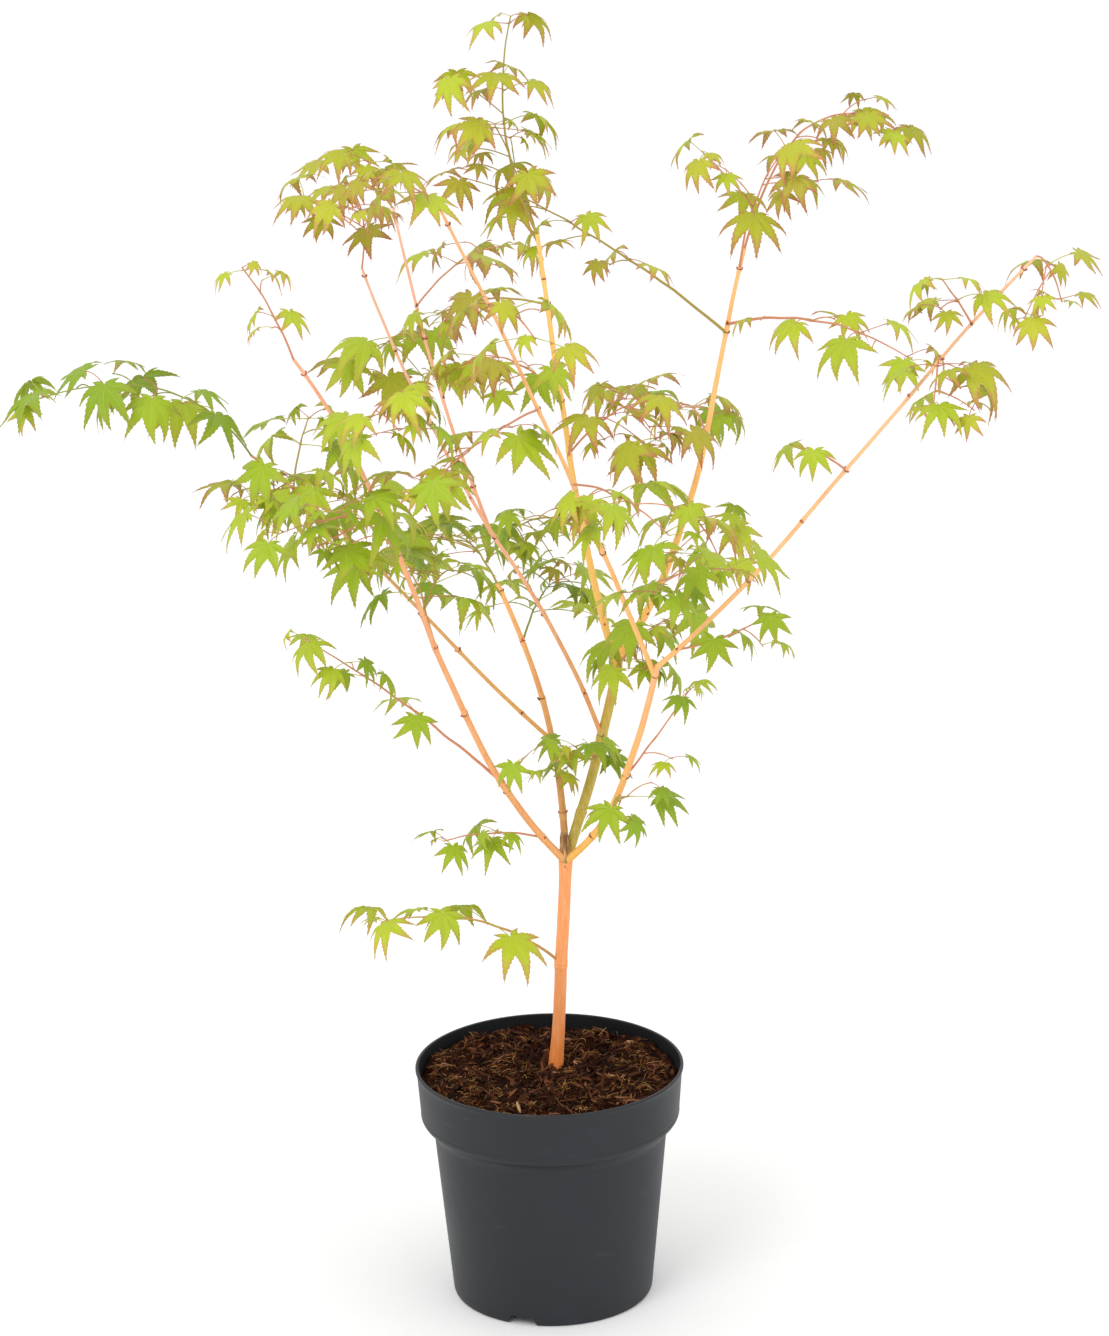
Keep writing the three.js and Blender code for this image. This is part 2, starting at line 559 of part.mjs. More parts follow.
// A leaf is one closed form: a star of lobes with a raised middle on each side, and a
// three-sided stalk that widens into its underside
function leafSolid(leaf) {
  const edge = [lobeTip(leaf, STALK_JOIN.angle, STALK_JOIN.reach)];
  for (let i = LOBES.length - 1; i > -LOBES.length; i--) {
    const lobe = LOBES[Math.abs(i)];
    const turn = Math.sign(i) * lobe.angle;
    edge.push(lobeTip(leaf, turn, lobe.reach));
    const next = LOBES[Math.abs(i - 1)];
    if (!next) break;
    edge.push(lobeTip(leaf, (turn + Math.sign(i - 1) * next.angle) / 2, SINUS));
  }
  edge.push(lobeTip(leaf, -STALK_JOIN.angle, STALK_JOIN.reach));
  const top = leaf.base.clone().addScaledVector(leaf.face, BLADE.half);
  const under = leaf.base.clone().addScaledVector(leaf.face, -BLADE.half);
  const last = edge.length - 1;

  const along = leaf.base.clone().sub(leaf.root).normalize();
  const rise = edge[0].clone().lerp(edge[last], 0.5).sub(under);
  rise.addScaledVector(along, -rise.dot(along)).normalize();
  const across = new THREE.Vector3().crossVectors(rise, along);
  const [right, left, keel] = [30, 150, 270].map((degrees) => {
    const turn = THREE.MathUtils.degToRad(degrees);
    return leaf.root.clone()
      .addScaledVector(across, Math.cos(turn) * STALK.radius)
      .addScaledVector(rise, Math.sin(turn) * STALK.radius);
  });

  const faces = [[top, edge[0], edge[last]], [right, keel, left]];
  for (let i = 0; i < last; i++) {
    faces.push([top, edge[i + 1], edge[i]], [under, edge[i], edge[i + 1]]);
  }
  const strips = [
    [right, left, edge[last], edge[0]],
    [left, keel, under, edge[last]],
    [keel, right, edge[0], under],
  ];
  for (const [a, b, c, d] of strips) faces.push([a, b, c], [a, c, d]);
  return toSolid(new THREE.BufferGeometry().setFromPoints(faces.flat()));
}

function massSolid(mass) {
  const parts = [mass, ...mass.twigs].map((twig) => (
    toSolid(taperedTube(twig.curve, twig.foot, TWIG.tip, TWIG.sides, TWIG.step))
  ));
  for (const leaf of mass.leaves) parts.push(leafSolid(leaf));
  const whole = wasm.Manifold.union(parts);
  return largest(whole.subtract(limbBody(limbs.get(mass.on), GAP)));
}

// The finished plant
const FINISHES = {
  pot: { color: 0x3a3d40, roughness: 0.55 },
  soil: { color: 0x5a3522, roughness: 0.95 },
  bark: { color: 0xe89a5c, roughness: 0.6 },
  leaf: { color: 0x93c12d, roughness: 0.6 },
  highLeaf: { color: 0xa9ae45, roughness: 0.6 },
};

function piece(name, body, finish) {
  const material = new THREE.MeshStandardMaterial({ ...finish, metalness: 0 });
  const mesh = new THREE.Mesh(toGeometry(body), material);
  mesh.name = name;
  return mesh;
}

const plant = new THREE.Group();
plant.add(piece("pot", potSolid(), FINISHES.pot));
plant.add(piece("potting_mix", soilSolid(), FINISHES.soil));

const madeLimbs = [];
for (const limb of limbs.values()) {
  let body = limbBody(limb, 0);
  for (const earlier of madeLimbs) {
    const touches = limb.on === earlier.name || limb.on === earlier.on;
    if (touches) body = body.subtract(limbBody(earlier, GAP));
  }
  plant.add(piece(limb.name, largest(body), FINISHES.bark));
  madeLimbs.push(limb);
}

for (const mass of masses) {
  const finish = mass.to[2] > HIGH_LEAVES ? FINISHES.highLeaf : FINISHES.leaf;
  plant.add(piece(mass.name, massSolid(mass), finish));
}

export default plant;
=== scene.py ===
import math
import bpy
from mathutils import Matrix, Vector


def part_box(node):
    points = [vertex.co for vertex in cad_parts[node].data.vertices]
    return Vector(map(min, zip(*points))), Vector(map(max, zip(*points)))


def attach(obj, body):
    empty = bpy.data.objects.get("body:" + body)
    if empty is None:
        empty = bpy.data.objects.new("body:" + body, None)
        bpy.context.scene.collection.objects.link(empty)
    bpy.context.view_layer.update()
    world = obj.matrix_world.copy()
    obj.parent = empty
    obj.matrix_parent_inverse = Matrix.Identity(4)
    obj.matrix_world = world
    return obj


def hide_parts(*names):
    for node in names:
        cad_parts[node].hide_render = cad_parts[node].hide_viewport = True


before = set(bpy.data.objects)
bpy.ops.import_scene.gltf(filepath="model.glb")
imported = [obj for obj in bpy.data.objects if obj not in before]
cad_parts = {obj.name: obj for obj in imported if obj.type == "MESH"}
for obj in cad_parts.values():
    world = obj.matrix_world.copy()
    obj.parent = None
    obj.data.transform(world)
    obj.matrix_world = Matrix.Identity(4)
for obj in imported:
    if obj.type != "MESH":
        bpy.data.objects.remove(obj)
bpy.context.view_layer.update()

# A young tree with palmate leaves in a round nursery pot.
# Sizes are in millimetres and become metres where a mesh is made.
from types import SimpleNamespace as Named

import bpy
import numpy as np
from mathutils import Vector, noise

MM = 0.001

# The pot, from rim to foot, as in the frame
POT_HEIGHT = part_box("pot")[1].z / MM
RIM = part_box("pot")[1].x / MM
BAND = Named(top=94.3, foot=92.2, foot_height=138.8)
SHOULDER = Named(radius=83, height=123.8)
FOOT = Named(radius=71.5, edge=70, round=3, ring=9, pad=15, under=7)
LIP = Named(height=4, wall=2.2, round=0.9)
NOTCH = Named(count=3, width=22, top_width=16, height=6.5, depth=14, first_deg=251.5)
POT_STEPS = 168
SOIL_TOP = 165
EDGE_DIP = 2

# Limbs: foot and tip are the diameters of the two ends
TRUNK = dict(name="trunk", start=(4, 15, 154), to=(14, 0, 325), bow=(0.5, 1, 0), foot=9, tip=8.7)
FLARE = Named(extra=1.05, height=40, buried=11, most=1.6)
STUB = Named(length=21, radius=4.7, tip=0.55, sunk=3, lean=(-1.5, -1), bow=(0.3, 0, 0), steps=22, sides=18,
             seed=91.0, rough=3.2, crack=0.1, cracks=5, turn=0.7, narrow=0.75, round_from=0.93, round=0.8)
GROUND = SOIL_TOP + 0.35


def grow(name, on, at, to, bow, **sizes):
    """A limb or shoot that leaves another limb at a share of its length and runs to its own end."""
    return dict(name=name, on=on, at=at, to=to, bow=bow, **sizes)


LIMBS = [
    TRUNK,
    grow("left_bough", "trunk", 1, (-157, -148, 729), (-5.5, -9, -1),
         swing=(-27.5, 0, -16), foot=5.2, tip=2.2),
    grow("right_bough", "trunk", 1, (78, -74, 491), (10.5, -5, -6), swing=(6, 0, -4), foot=5.2, tip=4.2),
    grow("main_leader", "trunk", 1, (54, 45, 461), (3, 3, 0), foot=7.2, tip=7),
    grow("left_leader", "trunk", 1, (-31, 100, 498), (11, -4, 4), foot=5.4, tip=3.2),
    grow("arching_bough", "left_leader", 0.42, (-194, -30, 632), (0, 10, 1),
         swing=(4, 0, -16), foot=3, tip=1.9),
    grow("right_leader", "main_leader", 1, (147, 136, 730), (13, 2, -6),
         swing=(13, 0, -5), foot=5.8, tip=2.6),
    grow("centre_leader", "main_leader", 0.93, (2, 20, 770), (-5.5, 9, -1),
         swing=(-3, 0, 0), foot=5.4, tip=2.8),
    grow("back_bough", "main_leader", 0.6, (-34, 40, 554), (5, -1, 2), foot=3.4, tip=2.6),
    grow("back_fork", "back_bough", 1, (-99, 150, 760), (-5, 3, -2), foot=2.6, tip=1.8),
    grow("left_fork", "back_bough", 0.97, (-117, 10, 751), (-6, 6, -1), foot=2.6, tip=1.7),
    grow("outer_bough", "right_bough", 1, (319, -190, 799), (3.5, 2, -2.2),
         swing=(8, 0, -7), foot=3.4, tip=1.9),
    grow("front_leader", "right_bough", 0.96, (-60, -110, 817), (3.5, -5, 2), foot=3.6, tip=2),
]

# Masses of leaves: the limb that each leaves and at what share of it, its end, its bow, its pairs of
# leaves, its side twigs with a pair each, and the length of its middle lobe
MASS_ROWS = (
    ("low_shoot", "trunk", 0.53, (-114, -50, 301), (6, 0, 16), 3, 0, 32),
    ("fork_shoot", "left_bough", 0.06, (-70, -46, 358), (0, 0, 5), 2, 0, 27),
    ("left_low_shoot", "left_bough", 0.19, (-160, -84, 519), (3, 0, 3), 3, 0, 27),
    ("left_spur", "left_bough", 0.17, (-12, -72, 428), (0, 0, 3), 1, 0, 20),
    ("left_under", "left_bough", 0.46, (-91, -50, 563), (0, 0, 6), 2, 1, 36),
    ("left_front", "left_bough", 0.63, (-132, -190, 638), (0, 0, 8), 2, 2, 36),
    ("left_inner", "left_bough", 0.52, (-61, -20, 546), (0, -8, 10), 2, 1, 34),
    ("mid_left", "left_bough", 0.82, (-92, -160, 706), (0, -4, 8), 2, 1, 34),
    ("left_tip", "left_bough", 1, (-187, -166, 795), (3, 0, 0), 2, 0, 21),
    ("arch_back", "arching_bough", 0.58, (-126, 120, 558), (0, 0, 10), 2, 1, 36),
    ("arch_under", "arching_bough", 0.72, (-166, -60, 626), (0, 0, 8), 2, 1, 35),
    ("arch_high", "arching_bough", 0.86, (-158, 50, 636), (0, 0, 8), 2, 0, 35),
    ("far_left", "arching_bough", 1, (-335, -62, 682), (14, 0, 26), 4, 0, 38),
    ("leader_back", "left_leader", 1, (-62, 220, 498), (0, 0, 8), 2, 2, 36),
    ("leader_inner", "left_leader", 0.78, (12, 190, 472), (0, 0, 10), 2, 1, 34),
    ("right_low", "right_bough", 0.32, (58, -56, 392), (0, 0, 3), 1, 0, 27),
    ("main_low", "main_leader", 0.5, (22, -18, 416), (0, 0, -4), 3, 0, 27),
    ("main_right", "main_leader", 0.93, (78, -12, 500), (0, 0, 5), 2, 1, 35),
    ("upper_left", "left_fork", 1, (-120, -10, 808), (4, 0, 4), 2, 2, 30),
    ("back_tip", "back_fork", 1, (-116, 160, 792), (-4, 4, 0), 2, 1, 30),
    ("back_right", "back_fork", 0.7, (-22, 222, 714), (0, 4, 10), 2, 0, 33),
    ("back_left", "back_fork", 0.6, (-126, 170, 636), (0, 4, 12), 2, 1, 34),
    ("front_tip", "front_leader", 1, (-92, -130, 844), (3, 0, 2), 2, 1, 28),
    ("front_high", "front_leader", 0.8, (0, -166, 744), (0, -4, 8), 2, 0, 32),
    ("front_left", "front_leader", 0.58, (-73, -190, 652), (4, -6, 10), 2, 1, 34),
    ("front_right", "front_leader", 0.42, (84, -196, 620), (0, -6, 10), 2, 1, 35),
    ("front_low", "front_leader", 0.16, (122, -176, 590), (0, 0, 8), 2, 1, 33),
    ("centre_back", "centre_leader", 0.34, (-38, 180, 502), (0, 4, 10), 2, 1, 34),
    ("centre_right", "centre_leader", 0.5, (76, 10, 654), (0, -4, 10), 2, 2, 35),
    ("centre_left", "centre_leader", 0.62, (-34, -26, 696), (0, 0, 10), 2, 1, 33),
    ("centre_high", "centre_leader", 0.84, (-68, 56, 706), (0, 0, 8), 2, 0, 32),
    ("top_shoot", "centre_leader", 1, (-13, -6, 924), (-13, 1, -2), 4, 1, 29),
    ("top_side", "centre_leader", 0.9, (-26, 50, 840), (4, 12, 2), 2, 2, 31),
    ("long_left", "right_leader", 0.8, (-22, 34, 800), (3, -1, 6), 3, 0, 27),
    ("long_right", "right_leader", 0.82, (256, 10, 680), (1, 2, 14), 3, 0, 31),
    ("arch_tip", "right_leader", 1, (256, 140, 810), (-9, 8, 44), 4, 0, 27),
    ("right_top", "right_leader", 0.95, (176, 100, 812), (-6, 0, 4), 2, 2, 32),
    ("right_back", "right_leader", 0.56, (102, 232, 588), (0, 4, 10), 2, 1, 35),
    ("right_mid", "right_leader", 0.36, (124, 16, 538), (0, -4, 10), 2, 1, 33),
    ("outer_tip", "outer_bough", 1, (337, -178, 766), (0, 0, 8), 2, 1, 23),
    ("outer_left", "outer_bough", 0.84, (258, -200, 788), (0, 0, 2), 2, 0, 25),
    ("outer_drop", "outer_bough", 0.76, (254, -196, 702), (0, 0, 10), 2, 1, 29),
    ("outer_small", "outer_bough", 0.5, (180, -152, 662), (0, 0, 2), 1, 0, 23),
    ("outer_low", "outer_bough", 0.05, (150, -112, 538), (1, 0, -4), 2, 0, 25),
    ("right_spur", "right_bough", 0.5, (100, -72, 474), (0, 2, -2), 1, 0, 19),
)
MASSES = [grow(*row[:5], nodes=row[5], sprays=row[6], leaf=row[7]) for row in MASS_ROWS]

# The growth rule of the masses
SEED = 4107
SEED_STEP = 97
TWIG = Named(foot=2, share=0.9, tip=1.3, side=1.43, shortest=34, longest=58)
STALK = Named(radius=0.6, shortest=0.5, longest=0.85)
STAR = ((0, 1), (43, 0.9), (-43, 0.9), (90, 0.62), (-90, 0.62))
STAR_DROOP = 0.16
LOBE_HALF = 0.118
LOBE_TIP = 0.4
TRIES = 9
LEAF_CLEAR = 0.8
PAIR = Named(first=0.46, first_of_many=0.3, last=0.97, forward=0.35, jitter=0.35, many=4)
LEAF_SIZE = Named(low=1.08, high=0.82, smallest=0.82, largest=1.12, retry=0.03)
LEAF_POSE = Named(turn=0.5, lowest=-0.15, highest=0.45, level=0.35, hanging=1.15, roll=0.5)
SPRAY = Named(first=0.34, last=0.8, out=0.85, along=0.5, lift=0.1, bow=2, pair=0.94)
SPRAY_LEAF = 0.9
TEST = Named(step=24, clear_from=0.3, stalk_from=0.25)
CROWN = (np.array((-370.0, -285, -1000)), np.array((376.0, 285, 943)))

# Finer twigs, within the reach of each mass
FINE = Named(seed=907, shortest=15, longest=34, leaf=0.74, clear=0.35, margin=5, tries=6, first=0.2,
             last=0.92, size=(0.8, 1.2))
END_LEAF = 0.5
# How many finer twigs a mass has, where the crown is fuller or more open than the rest
FULLNESS = {
    "left_inner": 6, "leader_back": 7, "leader_inner": 7, "left_under": 1, "arch_back": 1,
    "arch_high": 1, "back_left": 2, "front_low": 1, "front_right": 3,
    "right_mid": 2, "upper_left": 3, "back_tip": 2, "front_tip": 1, "centre_high": 1, "top_shoot": 2,
    "top_side": 3, "right_top": 2, "low_shoot": 1, "left_low_shoot": 1,
    "outer_low": 1, "main_low": 5, "right_low": 3, "right_spur": 1, "centre_back": 6, "main_right": 5,
}

UP = np.array((0.0, 0, 1))
MASK = 0xFFFFFFFF
# A twig this near to upright takes its pairs of leaves from the X axis
UPRIGHT = 0.9
MEASURE_POINTS = 201
MOST_CAPSULES = 40000
TINY = 1e-9
NEARBY = 1e-4


def mix(low, high, share):
    return low + (high - low) * share


def unit(vector):
    return vector / np.linalg.norm(vector)


def seeded(seed):
    """A repeatable stream of numbers from 0 to 1."""
    state = seed

    def draw():
        nonlocal state
        state = (state + 0x6D2B79F5) & MASK
        word = ((state ^ (state >> 15)) * (state | 1)) & MASK
        word = ((word + (word ^ (word >> 7)) * (word | 61)) & MASK) ^ word
        return (word ^ (word >> 14)) / (MASK + 1)

    return draw


def turned(vector, axis, angle):
    """vector turned about a unit axis."""
    across = np.cross(axis, vector)
    along = axis * np.dot(axis, vector)
    return along + (vector - along) * math.cos(angle) + across * math.sin(angle)


class Curve:
    """A smooth curve between two points, pushed out by its bow at mid length and swung by halves."""

    def __init__(self, start, end, bow, swing=(0, 0, 0)):
        self.start, self.end = np.array(start, float), np.array(end, float)
        third = (self.end - self.start) / 3
        push = np.array(bow, float) * 4 / 3
        self.first = self.start + third + push + np.array(swing, float)
        self.second = self.end - third + push - np.array(swing, float)
        steps = self.even(MEASURE_POINTS)
        self.length = np.linalg.norm(np.diff(steps, axis=0), axis=1).sum()

    def points(self, shares):
        t = np.asarray(shares, float)[:, None]
        early = (1 - t) ** 3 * self.start + 3 * (1 - t) ** 2 * t * self.first
        return early + 3 * (1 - t) * t**2 * self.second + t**3 * self.end

    def even(self, count):
        return self.points(np.linspace(0, 1, count))

    def point(self, share):
        return self.points([share])[0]

    def tangent(self, share):
        low, high = self.points([max(0, share - NEARBY), min(1, share + NEARBY)])
        return unit(high - low)


class Space:
    """The capsules that limbs, shoots and leaves fill, each as two ends, two radii and an owner."""

    def __init__(self):
        self.rows = np.zeros((MOST_CAPSULES, 9))
        self.count = 0

    def add(self, capsules, owner=-1):
        for a, b, radius_a, radius_b in capsules:
            self.rows[self.count] = (*a, *b, radius_a, radius_b, owner)
            self.count += 1

    def is_free(self, capsules, owner, clear):
        ones = np.array([(*a, *b, ra, rb) for a, b, ra, rb in capsules])
        rows = self.rows[: self.count]
        centre = (ones[:, 0:3].mean(0) + ones[:, 3:6].mean(0)) / 2
        reach = np.linalg.norm(ones[:, 0:6].reshape(-1, 3) - centre, axis=1).max() + ones[:, 6:8].max()
        middles = (rows[:, 0:3] + rows[:, 3:6]) / 2
        halves = np.linalg.norm(rows[:, 3:6] - rows[:, 0:3], axis=1) / 2 + rows[:, 6:8].max(1)
        near = np.linalg.norm(middles - centre, axis=1) < reach + halves + clear
        others = rows[near & (rows[:, 8] != owner)]
        return len(others) == 0 or least_gap(ones, others) >= clear


def least_gap(ones, others):
    """The smallest distance, skin to skin, between two lots of capsules."""
    start_1, end_1 = ones[:, None, 0:3], ones[:, None, 3:6]
    start_2, end_2 = others[None, :, 0:3], others[None, :, 3:6]
    d1, d2, r = end_1 - start_1, end_2 - start_2, start_1 - start_2
    a, e, f = (d1 * d1).sum(-1), (d2 * d2).sum(-1), (d2 * r).sum(-1)
    c, b = (d1 * r).sum(-1), (d1 * d2).sum(-1)
    spread = a * e - b * b
    s = np.where(spread > TINY, np.clip((b * f - c * e) / np.maximum(spread, TINY), 0, 1), 0)
    t = (b * s + f) / e
    s = np.where((t < 0) | (t > 1), np.clip((b * np.clip(t, 0, 1) - c) / a, 0, 1), s)
    t = np.clip(t, 0, 1)
    apart = np.linalg.norm(start_1 + d1 * s[..., None] - start_2 - d2 * t[..., None], axis=-1)
    skin_1 = mix(ones[:, None, 6], ones[:, None, 7], s)
    skin_2 = mix(others[None, :, 6], others[None, :, 7], t)
    return (apart - skin_1 - skin_2).min()


def curve_capsules(curve, radius):
    steps = max(2, round(curve.length / TEST.step))
    ends = curve.even(steps + 1)
    return [(ends[i], ends[i + 1], radius(i / steps), radius((i + 1) / steps)) for i in range(steps)]


def limb_radius(limb, share):
    return mix(limb["foot"], limb["tip"], share) / 2


class Leaf:
    """A leaf's stalk and the plane and size of its blade."""

    def __init__(self, root, out, length, random):
        flat = turned(unit(out * (1, 1, 0)), UP, mix(-LEAF_POSE.turn, LEAF_POSE.turn, random()))
        lift = mix(LEAF_POSE.lowest, LEAF_POSE.highest, random())
        reach = length * mix(STALK.shortest, STALK.longest, random())
        droop = mix(LEAF_POSE.level, LEAF_POSE.hanging, random())
        self.root, self.length = root, length
        self.base = root + reach * (flat * math.cos(lift) + UP * math.sin(lift))
        self.middle = flat * math.cos(droop) - UP * math.sin(droop)
        face = unit(UP - self.middle * self.middle[2])
        self.face = turned(face, self.middle, mix(-LEAF_POSE.roll, LEAF_POSE.roll, random()))
        self.side = np.cross(self.face, self.middle)

    def tips(self):
        angles, reaches = np.radians([a for a, _ in STAR])[:, None], np.array([r for _, r in STAR])[:, None]
        flat = self.middle * np.cos(angles) + self.side * np.sin(angles)
        return self.base + self.length * (flat * reaches - self.face * STAR_DROOP * reaches**2)

    def capsules(self):
        lobes = [(self.base, tip, LOBE_HALF * self.length, LOBE_TIP) for tip in self.tips()]
        start = mix(self.root, self.base, TEST.stalk_from)
        return lobes + [(start, self.base, STALK.radius, STALK.radius)]


class Mass:
    """One mass of leaves: its stem, its side twigs and its leaves."""

    def __init__(self, spec, index, limb):
        self.name, self.index = spec["name"], index
        self.nodes, self.sprays, self.leaf = spec["nodes"], spec["sprays"], spec["leaf"]
        self.curve = Curve(limb["curve"].point(spec["at"]), spec["to"], spec["bow"])
        self.foot = min(limb_radius(limb, spec["at"]) * TWIG.share, TWIG.foot)
        self.room, self.clear, self.tries = CROWN, LEAF_CLEAR, TRIES
        self.twigs, self.leaves = [], []

    def inside(self, points):
        low, high = self.room
        return bool(((points > low) & (points < high)).all())

    def try_leaf(self, root, out, length, random):
        """A leaf is tried in a few poses and left out where none is free."""
        for attempt in range(self.tries):
            leaf = Leaf(root, out, length * (1 - LEAF_SIZE.retry * attempt), random)
            if not self.inside(leaf.tips()) or not space.is_free(leaf.capsules(), self.index, self.clear):
                continue
            space.add(leaf.capsules())
            self.leaves.append(leaf)
            return

    def leaf_pair(self, curve, share, quarter, length, random):
        root, along = curve.point(share), curve.tangent(share)
        for across in pair_directions(along, quarter, random):
            size = mix(LEAF_SIZE.smallest, LEAF_SIZE.largest, random())
            self.try_leaf(root, across + along * PAIR.forward, length * size, random)

    def side_twig(self, share, spray, reach, leaf, random):
        """A side twig leaves its stem at a slant and lifts a little towards its end."""
        root, along = self.curve.point(share), self.curve.tangent(share)
        for attempt in range(self.tries):
            across = pair_directions(along, spray + 1 + attempt, random)[(spray + attempt) % 2]
            end = root + reach * (across * SPRAY.out + along * SPRAY.along + UP * SPRAY.lift)
            curve = Curve(root, end, (0, 0, SPRAY.bow))
            capsules = [(curve.point(TEST.clear_from), end, TWIG.side, TWIG.tip)]
            if not self.inside(end) or not space.is_free(capsules, self.index, self.clear):
                continue
            space.add(capsules, self.index)
            self.twigs.append(curve)
            self.leaf_pair(curve, SPRAY.pair, spray + 2, leaf, random)
            return

    def grow(self):
        random = seeded(SEED + self.index * SEED_STEP)
        first = PAIR.first_of_many if self.nodes >= PAIR.many else PAIR.first
        for node in range(self.nodes):
            share = mix(PAIR.last, first, (self.nodes - 1 - node) / max(1, self.nodes - 1))
            size = self.leaf * mix(LEAF_SIZE.low, LEAF_SIZE.high, node / self.nodes)
            self.leaf_pair(self.curve, share, node, size, random)
        for spray in range(self.sprays):
            share = mix(SPRAY.first, SPRAY.last, (spray + 0.5) / self.sprays)
            reach = mix(TWIG.shortest, TWIG.longest, random())
            self.side_twig(share, spray, reach, self.leaf * SPRAY_LEAF, random)

    def grow_finer(self, twigs):
        """Young end leaves and short twigs, kept inside the box of the mass."""
        low, high = (np.array(corner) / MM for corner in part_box(self.name))
        self.room = (low - FINE.margin, high + FINE.margin)
        self.clear, self.tries = FINE.clear, FINE.tries
        random = seeded(FINE.seed + self.index * SEED_STEP)
        for curve in [self.curve, *self.twigs]:
            self.leaf_pair(curve, 1, 1, self.leaf * END_LEAF, random)
        for twig in range(twigs):
            share = mix(FINE.first, FINE.last, (twig + random()) / twigs)
            reach = mix(FINE.shortest, FINE.longest, random())
            size = self.leaf * FINE.leaf * mix(*FINE.size, random())
            self.side_twig(share, twig, reach, size, random)


def pair_directions(along, quarter, random):
    """Leaf pairs stand opposite each other, turned a quarter from the last pair on an upright twig."""
    level = np.array((1.0, 0, 0)) if abs(along[2]) > UPRIGHT else UP
    across = unit(np.cross(along, level))
    turn = (quarter % 2) * (math.pi / 2) * abs(along[2])
    across = turned(across, along, turn + mix(-PAIR.jitter, PAIR.jitter, random()))
    return across, -across


space = Space()
limbs = {}
for limb in LIMBS:
    start = limbs[limb["on"]]["curve"].point(limb["at"]) if "on" in limb else limb["start"]
    limb["curve"] = Curve(start, limb["to"], limb["bow"], limb.get("swing", (0, 0, 0)))
    limbs[limb["name"]] = limb
    space.add(curve_capsules(limb["curve"], lambda t, limb=limb: limb_radius(limb, t)))

masses = []
for index, spec in enumerate(MASSES):
    mass = Mass(spec, index, limbs[spec["on"]])
    space.add(curve_capsules(mass.curve, lambda t, mass=mass: mix(mass.foot, TWIG.tip, t)), index)
    masses.append(mass)
for mass in masses:
    mass.grow()
for mass in masses:
    mass.grow_finer(FULLNESS.get(mass.name, mass.nodes + mass.sprays))


# Meshes
TUBE = Named(side=(0.31, 0.93, 0.17), end=0.5)


class Shape:
    """Points, faces and the look of each face, gathered for one piece."""

    def __init__(self):
        self.points, self.faces, self.looks, self.count = [], [], [], 0

    def add(self, points, faces, looks=0):
        self.points.append(np.asarray(points, float))
        self.faces += [tuple(corner + self.count for corner in face) for face in faces]
        self.looks += [looks] * len(faces) if np.isscalar(looks) else list(looks)
        self.count += len(points)


def add_object(name, data):
    thing = bpy.data.objects.new(name, data)
    bpy.context.scene.collection.objects.link(thing)
    return thing


def piece(name, shape, materials, replaced, smooth=True):
    """A mesh piece of the plant, which rides on the one body."""
    mesh = bpy.data.meshes.new(name)
    mesh.from_pydata(np.concatenate(shape.points) * MM, [], shape.faces)
    for material in materials:
        mesh.materials.append(material)
    mesh.polygons.foreach_set("material_index", shape.looks)
    mesh.polygons.foreach_set("use_smooth", [smooth] * len(shape.faces))
    mesh.validate()
    thing = add_object(name, mesh)
    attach(thing, "root")
    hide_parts(*replaced)
    return thing


def angles_round(steps):
    return np.linspace(0, 2 * math.pi, steps, endpoint=False)


def ring_faces(rings, around):
    """The faces between rings of points, closed by two end points that come after all the rings."""
    faces = []
    for i in range(around):
        j = (i + 1) % around
        faces.append((rings * around, j, i))
        faces.append((rings * around + 1, (rings - 1) * around + i, (rings - 1) * around + j))
        faces += [(r * around + i, r * around + j, (r + 1) * around + j, (r + 1) * around + i)
                  for r in range(rings - 1)]
    return faces


def tube(path, radii, sides, relief=None):
    """A closed round form along a path, with rounded ends."""
    path, radii = np.asarray(path, float), np.asarray(radii, float)
    steps = np.diff(path, axis=0)
    along = np.vstack([steps[:1], steps[:-1] + steps[1:], steps[-1:]])
    along /= np.linalg.norm(along, axis=1)[:, None]
    side = unit(np.cross(along[0], TUBE.side))
    turn = angles_round(sides)
    points = []
    for i, centre in enumerate(path):
        side = unit(side - along[i] * np.dot(side, along[i]))
        across = np.cross(along[i], side)
        size = np.reshape(radii[i] if relief is None else radii[i] * relief[i], (-1, 1))
        points.append(centre + (np.outer(np.cos(turn), side) + np.outer(np.sin(turn), across)) * size)
    low = path[0] - along[0] * radii[0] * TUBE.end
    high = path[-1] + along[-1] * radii[-1] * TUBE.end
    return np.vstack([*points, low, high]), ring_faces(len(path), sides)


def noise_at(x, y, z):
    return noise.noise(Vector((x, y, z)))


def wander(places, apart, seed):
    """A smooth drift in three directions at each of some places along a limb or a twig."""
    return np.array([[noise_at(place, k * apart, seed) for k in range(3)] for place in places])


def hill(gap, width):
    """A smooth rise to 1 where the gap is 0."""
    return np.exp(-((gap / width) ** 2))


def clamp(value):
    return min(1, max(0, value))


# Materials
GRAIN = Named(low=(0.3, -0.08), high=(0.7, 0.1), strength=0.5)
# Streaks, patches and pores of young bark: noise scale, detail and stretch, the ramp's two stops, colour
BARK_MARKS = (
    (420, 5.0, (1, 1, 0.12), (0.42, 0.0), (0.74, 0.28), "FFD2A0"),
    (60, 3.0, (1, 1, 0.4), (0.5, 0.0), (0.78, 0.38), "DC8346"),
    (900, 2.0, (1, 1, 0.35), (0.7, 0.0), (0.76, 0.75), "A65A32"),
)


def linear(code):
    """The linear colour of a web colour code."""
    shares = [int(code[i : i + 2], 16) / 255 for i in (0, 2, 4)]
    return [s / 12.92 if s <= 0.04045 else ((s + 0.055) / 1.055) ** 2.4 for s in shares] + [1.0]


